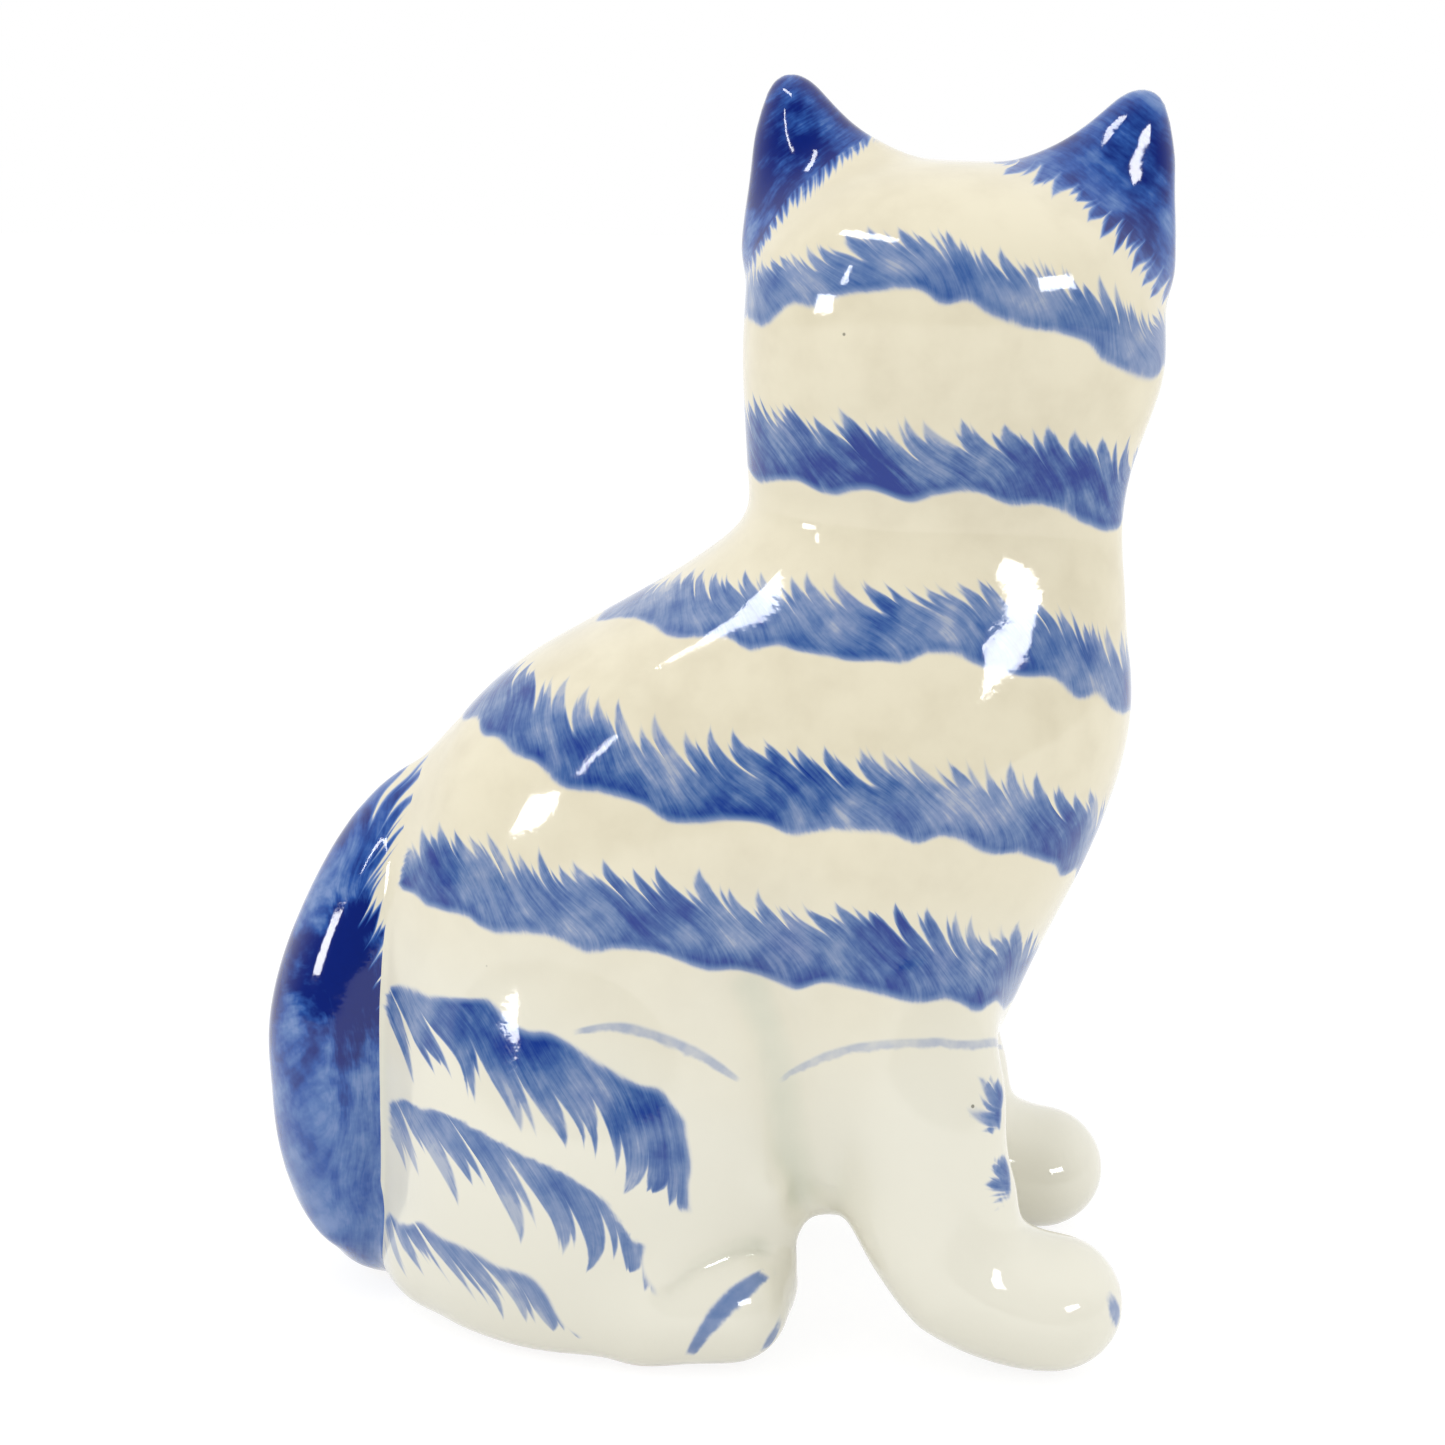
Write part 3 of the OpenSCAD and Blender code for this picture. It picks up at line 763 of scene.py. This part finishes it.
POOL_BLUR = 2.6
POOL_FULL = 0.7
BARE_TO = 1.1
BARE_SOFT = 0.4
BARE_ROOM = 0.8
GREEN_FROM = 88.0
GREEN_OVER = 60.0


def glaze_state():
    """How pooled, how green and how bare the glaze is at each skin point, from 0 to 1."""
    height = points[:, 2]
    pool = np.clip(-sample(blurred(form, POOL_BLUR), points) / POOL_FULL, 0, 1)
    green = np.clip((GREEN_FROM - height) / GREEN_OVER, 0, 1)
    foot = np.clip((BARE_TO - height) / BARE_SOFT, 0, 1)
    vent = np.hypot(*(points[:, :2] - VENT_AT).T) < VENT_RADIUS + BARE_ROOM
    vent &= height < VENT_DEPTH + 1
    return np.stack([pool, green, np.maximum(foot, vent)], 1)


def channel_values(channel, layer):
    return {channel + "_" + kind: values for kind, values in layer.items()}


def paint_attributes():
    """Named values carried by every skin point and read by the glaze material, for each piece."""
    bands, lines = all_strokes()
    brushed = {**channel_values("stroke", laid(bands)), **channel_values("line", laid(lines))}
    common = {"face": face_places(), "glaze": glaze_state(), **brushed}
    ears = channel_values("wash", ear_wash())
    tail = channel_values("wash", tail_wash())
    bare = {kind: np.zeros((len(points), 3)) for kind in brushed}
    washed = {"head": ears, "ear_right": ears, "ear_left": ears, "tail": {**tail, **bare}}
    return {name: {**common, **washed.get(name, {})} for name in fields}


# Shader arithmetic

class Num:
    """A shader value that takes plain arithmetic: each step makes one Math node."""

    def __init__(self, socket):
        self.socket = socket
        self.tree = socket.id_data

    def __add__(self, other):
        return math_node("ADD", self, other)

    def __sub__(self, other):
        return math_node("SUBTRACT", self, other)

    def __rsub__(self, other):
        return math_node("SUBTRACT", other, self)

    def __mul__(self, other):
        return math_node("MULTIPLY", self, other)

    def __truediv__(self, other):
        return math_node("DIVIDE", self, other)

    def __pow__(self, other):
        return math_node("POWER", self, other)

    __radd__ = __add__
    __rmul__ = __mul__


def feed(slot, value):
    """Links a shader value into a socket, or sets a plain number or a web colour there."""
    if isinstance(value, Num):
        value.tree.links.new(value.socket, slot)
    else:
        slot.default_value = colour(value) if isinstance(value, str) else value


def node_from(kind, values):
    """New node with its first inputs fed from values, at least one of them a shader value."""
    tree = next(value.tree for value in values if isinstance(value, Num))
    node = tree.nodes.new("ShaderNode" + kind)
    for slot, value in zip(node.inputs, values):
        feed(slot, value)
    return node


def parts(kind, output):
    """The three numbers of a vector or a colour."""
    split = output.id_data.nodes.new("ShaderNodeSeparate" + kind)
    output.id_data.links.new(output, split.inputs[0])
    return [Num(out) for out in split.outputs]


def math_node(operation, *values):
    node = node_from("Math", values)
    node.operation = operation
    return Num(node.outputs[0])


def floor(value):
    return math_node("FLOOR", value)


def size_of(value):
    return math_node("ABSOLUTE", value)


def least(a, b):
    return math_node("MINIMUM", a, b)


def most(a, b):
    return math_node("MAXIMUM", a, b)


def reach(x, y):
    """Distance of a point from the origin."""
    return math_node("SQRT", x * x + y * y)


def ramp(value, low, high):
    """Rises smoothly from 0 at low to 1 at high, which may be the lesser of the two."""
    node = node_from("MapRange", (value, low, high))
    node.interpolation_type = "SMOOTHSTEP"
    return Num(node.outputs["Result"])


def attribute(where, name):
    """The three numbers of a named value that the skin carries."""
    node = where.tree.nodes.new("ShaderNodeAttribute")
    node.attribute_name = name
    return parts("XYZ", node.outputs["Vector"])


def vector(*values):
    return Num(node_from("CombineXYZ", values).outputs[0])


def noise(where, scale=1.0, detail=2.0, roughness=0.5):
    """Noise about 0, mostly within -0.5 to 0.5."""
    node = node_from("TexNoise", [where])
    feed(node.inputs["Scale"], scale)
    feed(node.inputs["Detail"], detail)
    feed(node.inputs["Roughness"], roughness)
    return (Num(node.outputs["Fac"]) - 0.5) * 2.0


def chances(number):
    """Three random values from 0 to 1 for each whole number."""
    node = number.tree.nodes.new("ShaderNodeTexWhiteNoise")
    node.noise_dimensions = "1D"
    feed(node.inputs["W"], number)
    return parts("Color", node.outputs["Color"])


def mixed(share, a, b):
    node = share.tree.nodes.new("ShaderNodeMix")
    node.data_type = "RGBA"
    for slot, value in zip((node.inputs[0], node.inputs[6], node.inputs[7]), (share, a, b)):
        feed(slot, value)
    return Num(node.outputs[2])


def colour(code):
    """Linear colour of a six-digit web colour."""
    shares = [int(code[k:k + 2], 16) / 255 for k in (1, 3, 5)]
    return [c / 12.92 if c <= 0.04045 else ((c + 0.055) / 1.055) ** 2.4 for c in shares] + [1.0]


def millimetres(tree):
    """Place on the figure in millimetres."""
    node = tree.nodes.new("ShaderNodeTexCoord")
    scaled = tree.nodes.new("ShaderNodeVectorMath")
    scaled.operation = "SCALE"
    feed(scaled.inputs["Scale"], 1 / MM)
    tree.links.new(node.outputs["Object"], scaled.inputs[0])
    return Num(scaled.outputs[0])


# Brush work

# Hair strokes: sizes in lengths of hair, spread of their tips, how they narrow and how soft they are
TOOTH_CELL = 1.1
FINE_CELL = 0.6
FINE_HEIGHT = 0.72
FINE_SEED = 5.5
SEED_STEP = 37.0
TIP_LEAST = 0.30
TIP_MORE = 0.85
TOOTH_HALF = 0.62
TOOTH_CURVE = 1.6
TOOTH_SOFT = (-0.25, 0.75)

# Strokes: slow wander of the hand, sweep of the hairs, lobes of the soft edge, soft ends, least and full ink
WANDER_SCALE = 0.06
WANDER_ALONG = 3.0
STROKE_SWAY = 1.6
STROKE_SWEEP = 2.6
WASH_SWAY = 2.2
WASH_SWEEP = 1.3
LOBE_LENGTH = 15.0
LOBE_DEPTH = 0.66
LOBE_WANDER = 12.0
POINTED = 12.0
POINT_RISE = 1.6
SOFT_EDGE = (-0.5, 1.5)
SOFT_END = (-0.8, 1.8)
LEAST_INK = 0.25
LEAST_WASH = 0.34
INK_RANGE = (0.05, 1.2)

# Pigment: even share, scale and share of patches and blots, shares of streaks, bristles, hairs, tips and edge
EVEN_INK = 0.62
PATCH = (0.085, 0.88)
BLOT = (0.26, 0.42)
STREAK_INK = 0.50
BRISTLE_INK = 0.20
OWN_INK = 0.22
TIP_FADE = 0.40
EDGE_INK = 0.16


def teeth(along, rise, hair, cell, seed, height):
    """One row of pointed hair strokes: how far inside one a point is, and the stroke's own chance."""
    column = along / cell
    number = floor(column)
    first, second, third = chances(number + seed * SEED_STEP)
    middle = 0.5 + (first - 0.5) * 0.5
    tip = hair * (TIP_LEAST + TIP_MORE * second) * height
    climb = least(most((rise + hair) / (tip + hair), 0.0), 1.5)
    width = TOOTH_HALF * (1.0 - climb ** TOOTH_CURVE)
    inside = (width - size_of(column - number - middle)) * cell
    return inside, third


def ragged_edge(along, rise, hair, cell, seed):
    """Cover of a painted edge with coarse and fine hair strokes, and the own chance of each coarse one."""
    coarse, own = teeth(along, rise, hair, cell * TOOTH_CELL, seed, 1.0)
    fine, _ = teeth(along, rise, hair, cell * FINE_CELL, seed + FINE_SEED, FINE_HEIGHT)
    return most(ramp(most(coarse, fine), *TOOTH_SOFT), ramp(rise, hair * -0.5, hair * -1.0)), own


def pigment(where, along, rise, seed):
    """Uneven cobalt of a watery brush: pale and dark patches, blots and faint marks of the bristles."""
    patch = noise(where, PATCH[0], 2.0, 0.55)
    blot = noise(where, BLOT[0], 3.0, 0.6)
    streak = noise(vector(along * 0.55, rise * 0.12, seed * 3.1), 1.0, 3.0, 0.6)
    bristle = noise(vector(along * 2.2, rise * 0.35, seed * 1.7), 1.0, 2.0, 0.6)
    return EVEN_INK + PATCH[1] * patch + BLOT[1] * blot + STREAK_INK * streak + BRISTLE_INK * bristle


def inked(density, tone, least_ink):
    """Strength of the paint by its density and tone, from a least strength up to 1."""
    return least_ink + (1.0 - least_ink) * ramp(density * tone, *INK_RANGE)


def brush(where):
    """Density of a brushed stroke: solid body, ragged hairs along one edge, soft lobes along the other."""
    along, across, end = attribute(where, "stroke_place")
    half, hair, lean = attribute(where, "stroke_form")
    weight, tone, seed = attribute(where, "stroke_ink")
    seed = floor(seed + 0.5)
    wander = noise(where, WANDER_SCALE, 1.0)
    rise = across - half + wander * STROKE_SWAY
    sweep = lean * hair * STROKE_SWEEP * ramp(rise, hair * -3.0, hair * 1.3)
    swept = along + sweep + wander * WANDER_ALONG
    point = ramp(end, POINTED, 0.0) * ramp(lean, -0.1, -0.5)
    cover, own = ragged_edge(swept, rise, hair * (1.0 - 0.7 * point), hair, seed)
    wave = math_node("SINE", (along + wander * LOBE_WANDER) * (2 * math.pi / LOBE_LENGTH))
    edge = across + half + wave * LOBE_DEPTH - point * half * POINT_RISE
    ragged = noise(vector(0.0, rise * 0.6, seed), 1.0) * 2.0
    cover = cover * ramp(edge, *SOFT_EDGE) * ramp(end + ragged, *SOFT_END) * ramp(along + ragged, *SOFT_END)
    density = pigment(where, swept, rise, seed) + OWN_INK * (own - 0.5) * ramp(rise, hair * -1.0, 0.0)
    density = density - TIP_FADE * ramp(rise, hair * -0.8, hair) + EDGE_INK * ramp(edge, 3.2, 0.6)
    return cover * weight * inked(density, tone, LEAST_INK)


def wash(where):
    """Density of a wash laid along the tail or over an ear, up to a ragged edge."""
    along, across, _ = attribute(where, "wash_place")
    _, hair, lean = attribute(where, "wash_form")
    weight, tone, seed = attribute(where, "wash_ink")
    seed = floor(seed + 0.5)
    wander = noise(where, WANDER_SCALE, 1.0)
    rise = across + wander * WASH_SWAY
    sweep = lean * hair * WASH_SWEEP * ramp(rise, hair * -1.3, hair * 1.3)
    swept = along + sweep + wander * WANDER_ALONG
    cover, _ = ragged_edge(swept, rise, hair, hair, seed)
    density = pigment(where, rise, along, seed)
    return cover * weight * inked(density, tone, LEAST_WASH)


def thin_lines(where):
    """Density of the thin painted lines and dabs."""
    along, across, end = attribute(where, "line_place")
    half, _, _ = attribute(where, "line_form")
    weight, tone, _ = attribute(where, "line_ink")
    wobble = noise(where, 0.5, 2.0) * 0.5
    inside = half * (0.9 + 0.6 * wobble) - size_of(across + wobble * 0.5)
    cover = ramp(inside, half * -0.5, half * 0.5)
    for room in (end, along):
        cover = cover * ramp(room + wobble * 2.0, -0.5, 2.0)
    return cover * weight * tone * (1.0 + 0.5 * noise(where, 0.35, 3.0))


# Face: eyes, nose, mouth and whiskers, one half of each, mirrored across the middle

EYE_AT = (11.5, 30.0)
EYE_HALF = (6.0, 3.3)
EYE_SLANT = 0.22
PUPIL_HALF = (1.2, 2.9)
NOSE_TOP = 22.0
NOSE_LOW = 18.6
NOSE_HALF = 3.3
LIP_AT = (3.1, 16.3)
LIP_RADIUS = 3.1
WHISKERS = [((9.0, 18.4), (20.0, 21.5)), ((9.4, 16.8), (21.0, 16.6)), ((8.8, 15.2), (19.5, 11.8))]
WHISKER_HALF = 0.32
WHISKER_INK = 0.75
DOTS = [(5.6, 18.6), (6.8, 17.0), (5.4, 15.4)]
DOT_INK = 0.8
BROW_MARKS = [((0.0, 38.0), (0.0, 46.0)), ((5.0, 38.5), (6.2, 45.5)), ((9.6, 38.6), (12.0, 43.5))]
BROW_HALF = 1.1
BROW_INK = 0.7
FACE_INK = 0.95


def line_from(x, y, start, finish):
    """Distance to a straight line between two places on the face."""
    run = (finish[0] - start[0], finish[1] - start[1])
    square = run[0] ** 2 + run[1] ** 2
    share = ((x - start[0]) * run[0] + (y - start[1]) * run[1]) / square
    share = least(most(share, 0.0), 1.0)
    return reach(x - start[0] - share * run[0], y - start[1] - share * run[1])


def eye_edge(x, y):
    """Distance to the almond outline of an eye, less than 0 inside."""
    long, tall = EYE_HALF
    radius = (long ** 2 + tall ** 2) / (2 * tall)
    shift = radius - tall
    return most(reach(x, y + shift), reach(x, y - shift)) - radius


def painted_face(where):
    """Density of the painted face, and the share of it that is the pale wash of the eyes."""
    across, up, front = attribute(where, "face")
    wobble = noise(where, 0.25, 2.0)
    x = size_of(across + 0.6 * wobble)
    y = up + 0.6 * wobble
    eye_x = x - EYE_AT[0]
    eye_y = y - EYE_AT[1] - EYE_SLANT * eye_x
    eye = eye_edge(eye_x, eye_y)
    rim = ramp(size_of(eye + 0.1) - 0.25 * ramp(eye_y, 0.0, 3.0), 0.75, 0.35)
    pupil = ramp(reach(eye_x / PUPIL_HALF[0], eye_y / PUPIL_HALF[1]), 1.12, 0.9)
    iris = ramp(eye, 0.1, -0.2)
    share = (y - NOSE_LOW) / (NOSE_TOP - NOSE_LOW)
    nose = ramp(least(least(share * NOSE_HALF, NOSE_HALF * 0.92) - x, NOSE_TOP - y), -0.15, 0.35)
    above = y - LIP_AT[1]
    groove = ramp(x, 0.62, 0.30) * ramp(y, NOSE_LOW + 1.0, NOSE_LOW + 0.6) * ramp(above, -0.9, -0.4)
    curl = size_of(reach(x - LIP_AT[0], above) - LIP_RADIUS)
    lip = ramp(curl, 0.62, 0.25) * ramp(above, 0.2, -0.3)
    marks = most(most(rim, pupil), most(nose, most(groove, lip)))
    for start, finish in WHISKERS:
        whisker = ramp(line_from(x, y, start, finish), WHISKER_HALF * 1.5, WHISKER_HALF * 0.6)
        marks = most(marks, WHISKER_INK * whisker)
    for spot in DOTS:
        marks = most(marks, DOT_INK * ramp(reach(x - spot[0], y - spot[1]), 0.75, 0.4))
    for start, finish in BROW_MARKS:
        brow = ramp(line_from(x, y, start, finish), BROW_HALF * 1.3, BROW_HALF * 0.5)
        marks = most(marks, BROW_INK * brow)
    return marks * front * FACE_INK, iris * front


# Materials

CREAM = "#EAE2C9"
CREAM_SHADE = "#DFD6BC"
CELADON = "#EBE8D9"
POOLED = "#DDDECC"
CLAY = "#DDB8A0"
SPECK = "#6E6A58"
EYE_WASH = "#A9C4B4"
COBALT = [(0.0, "#AEBBD6"), (0.28, "#8299C8"), (0.5, "#5678B4"), (0.72, "#2C56A4"), (1.0, "#041F74")]
WATERY = [(0.0, "#B9C3D6"), (0.28, "#8D9DBF"), (0.5, "#6882B0"), (0.72, "#4466A2"), (1.0, "#0A328C")]
VIOLET = "#8280B4"
DRIFT_SCALE = 0.035
CLOUD_SCALE = 0.16
SPECK_SCALE = 0.16
GLOSS_ROUGH = 0.07
CLAY_ROUGH = 0.65
GLAZE_IOR = 1.5
BUMP_STRENGTH = 0.25
BUMP_DEPTH = 0.35


def cobalt_ramp(density, shades):
    """Colour of the paint by its density."""
    node = node_from("ValToRGB", [density])
    stops = node.color_ramp.elements
    while len(stops) < len(shades):
        stops.new(0.5)
    for stop, (place, code) in zip(stops, shades):
        stop.position = place
        stop.color = colour(code)
    return Num(node.outputs["Color"])


def bare_glaze(where):
    """Ivory glaze, greener low down and in the creases, with a few dark specks."""
    pool, green, _ = attribute(where, "glaze")
    drift = noise(where, DRIFT_SCALE, 2.0)
    cloud = noise(where, CLOUD_SCALE, 3.0)
    ivory = mixed(ramp(cloud + drift, -0.5, 0.9), CREAM, CREAM_SHADE)
    tint = ramp(green + 0.35 * drift, 0.0, 1.0)
    ivory = mixed(tint, ivory, CELADON)
    ivory = mixed(least(pool * (0.9 + 0.5 * cloud), 1.0), ivory, POOLED)
    grain = node_from("TexVoronoi", [where])
    feed(grain.inputs["Scale"], SPECK_SCALE)
    chance = parts("Color", grain.outputs["Color"])[0]
    speck = ramp(Num(grain.outputs["Distance"]), 0.055, 0.03) * ramp(chance, 0.80, 0.82)
    return mixed(speck * 0.8, ivory, SPECK)


def painted_glaze(name):
    """Clear gloss over cobalt brush work on ivory, and bare clay on the foot ring."""
    material = bpy.data.materials.new(name)
    material.use_nodes = True
    tree = material.node_tree
    bsdf = tree.nodes["Principled BSDF"]
    where = millimetres(tree)
    face, iris = painted_face(where)
    solid = wash(where)
    watery = most(most(brush(where), thin_lines(where)), face)
    density = most(solid, watery)
    ground = mixed(iris * 0.8, bare_glaze(where), EYE_WASH)
    laid_solid = ramp(solid - watery, -0.05, 0.05)
    blue = mixed(laid_solid, cobalt_ramp(density, WATERY), cobalt_ramp(density, COBALT))
    warm = ramp(noise(where, 0.07, 3.0), 0.1, 0.8) * (0.3 - 0.25 * laid_solid)
    blue = mixed(warm * ramp(density, 0.9, 0.5), blue, VIOLET)
    surface = mixed(ramp(density, 0.0, 0.36), ground, blue)
    _, _, bare = attribute(where, "glaze")
    surface = mixed(bare, surface, CLAY)
    feed(bsdf.inputs["Base Color"], surface)
    feed(bsdf.inputs["Roughness"], GLOSS_ROUGH + CLAY_ROUGH * bare + 0.03 * noise(where, 0.2, 2.0))
    feed(bsdf.inputs["IOR"], GLAZE_IOR)
    bump = tree.nodes.new("ShaderNodeBump")
    feed(bump.inputs["Strength"], BUMP_STRENGTH)
    feed(bump.inputs["Distance"], BUMP_DEPTH * MM)
    feed(bump.inputs["Height"], noise(where, 0.10, 1.0) + 0.08 * noise(where, 0.9, 2.0))
    tree.links.new(bump.outputs["Normal"], bsdf.inputs["Normal"])
    return material


# Pieces

SLOTS = {"ear_right": "cobalt_glaze", "ear_left": "cobalt_glaze", "tail": "cobalt_glaze"}


def add_pieces():
    """One closed piece for each cast piece, carrying its share of the paint."""
    paint = paint_attributes()
    materials = {slot: painted_glaze(slot) for slot in ("ivory_glaze", "cobalt_glaze")}
    for number, name in enumerate(fields):
        faces = quads[owner == number]
        used = np.unique(faces)
        mesh = piece_mesh("glazed_" + name, faces)
        for kind, values in paint[name].items():
            layer = mesh.attributes.new(kind, "FLOAT_VECTOR", "POINT")
            carried = np.zeros((len(mesh.vertices), 3), np.float32)
            carried[:len(used)] = values[used]
            layer.data.foreach_set("vector", carried.ravel())
        piece = add_object("glazed_" + name, mesh)
        slot = SLOTS.get(name, "ivory_glaze")
        mesh.materials.append(materials[slot])
        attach(piece, "root")
        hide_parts(name)


# Studio: a white backdrop, a dimmer room on the camera's side, soft lamps and window-shaped highlights

ROOM = 0.70
GLOSS_ROOM = 0.12
BACKDROP = 0.95
BEHIND = (-0.5, 0.7)
FLOOR_HALF = 3.0
FLOOR_COLOUR = (0.86, 0.86, 0.85, 1)
FLOOR_WHITE = 0.8
FLOOR_GLOW = 1.12
LAMP_AIM = np.array([0.018, 0.0, 0.095])
LAMP_DISTANCE = 1.2

# Lamps: azimuth and elevation in degrees, width and height in metres, radiance
SOFT_LAMPS = {
    "key": (-62, 52, (1.0, 1.0), 1.45),
    "fill": (30, 4, (1.0, 1.0), 0.7),
    "side": (98, 14, (1.0, 1.0), 0.6),
}
WINDOWS = {
    "window_right": (43, 25, (0.44, 0.18), 22),
    "window_left": (-55, 10, (0.25, 0.17), 22),
    "strip_above": (-50, 58, (0.6, 0.1), 18),
    "slit_left": (-46, 27, (0.05, 0.26), 22),
}


def seen_directly(tree):
    """Camera rays; rays off gloss; and those from the camera, off gloss or through glass together."""
    path = tree.nodes.new("ShaderNodeLightPath")
    rays = [Num(path.outputs[name]) for name in ("Is Camera Ray", "Is Glossy Ray", "Is Transmission Ray")]
    return rays[0], rays[1], most(most(rays[0], rays[1]), rays[2])


def add_world():
    """White backdrop, and a room on the camera's side that the gloss shows dimmer."""
    world = bpy.data.worlds.new("studio")
    bpy.context.scene.world = world
    world.use_nodes = True
    tree = world.node_tree
    where = tree.nodes.new("ShaderNodeTexCoord")
    _, back, up = parts("XYZ", where.outputs["Generated"])
    behind = ramp(back + 0.5 * up, *BEHIND)
    camera, glossy, direct = seen_directly(tree)
    backdrop = BACKDROP + (1.0 - BACKDROP) * direct
    room = ROOM - (ROOM - GLOSS_ROOM) * glossy
    strength = room + (backdrop - room) * behind
    background = tree.nodes["Background"]
    feed(background.inputs["Color"], (1, 1, 1, 1))
    feed(background.inputs["Strength"], most(strength, camera))


def add_floor():
    """Pale floor, white where it is seen directly, that keeps the figure's shadow."""
    mesh = bpy.data.meshes.new("floor")
    corners = [(-1, -1), (1, -1), (1, 1), (-1, 1)]
    mesh.from_pydata([(x * FLOOR_HALF, y * FLOOR_HALF, 0) for x, y in corners], [], [(0, 1, 2, 3)])
    floor_object = add_object("floor", mesh)
    material = bpy.data.materials.new("floor")
    material.use_nodes = True
    tree = material.node_tree
    tree.nodes.remove(tree.nodes["Principled BSDF"])
    diffuse = tree.nodes.new("ShaderNodeBsdfDiffuse")
    feed(diffuse.inputs["Color"], FLOOR_COLOUR)
    glow = tree.nodes.new("ShaderNodeEmission")
    feed(glow.inputs["Strength"], FLOOR_GLOW)
    blend = tree.nodes.new("ShaderNodeMixShader")
    feed(blend.inputs[0], FLOOR_WHITE * seen_directly(tree)[2])
    tree.links.new(diffuse.outputs[0], blend.inputs[1])
    tree.links.new(glow.outputs[0], blend.inputs[2])
    tree.links.new(blend.outputs[0], tree.nodes["Material Output"].inputs["Surface"])
    mesh.materials.append(material)


def add_lamp(name, azimuth, elevation, size, radiance):
    """Rectangular lamp; azimuth 0 stands on the camera's side and 90 towards +X, in degrees."""
    turn = math.radians(azimuth)
    rise = math.radians(elevation)
    way = np.array([math.sin(turn) * math.cos(rise), -math.cos(turn) * math.cos(rise), math.sin(rise)])
    data = bpy.data.lights.new(name, "AREA")
    data.shape = "RECTANGLE"
    data.size, data.size_y = size
    data.energy = radiance * math.pi * size[0] * size[1]
    lamp = add_object(name, data)
    lamp.location = LAMP_AIM + way * LAMP_DISTANCE
    lamp.rotation_euler = Vector(-way).to_track_quat("-Z", "Y").to_euler()
    return lamp


def add_lamps():
    """Soft lamps that light the glaze evenly, and bright windows that only the gloss picks up."""
    for name, lamp in SOFT_LAMPS.items():
        add_lamp(name, *lamp).visible_glossy = False
    for name, lamp in WINDOWS.items():
        add_lamp(name, *lamp).visible_diffuse = False


add_pieces()
add_world()
add_floor()
add_lamps()
bpy.context.scene.view_settings.view_transform = "Standard"
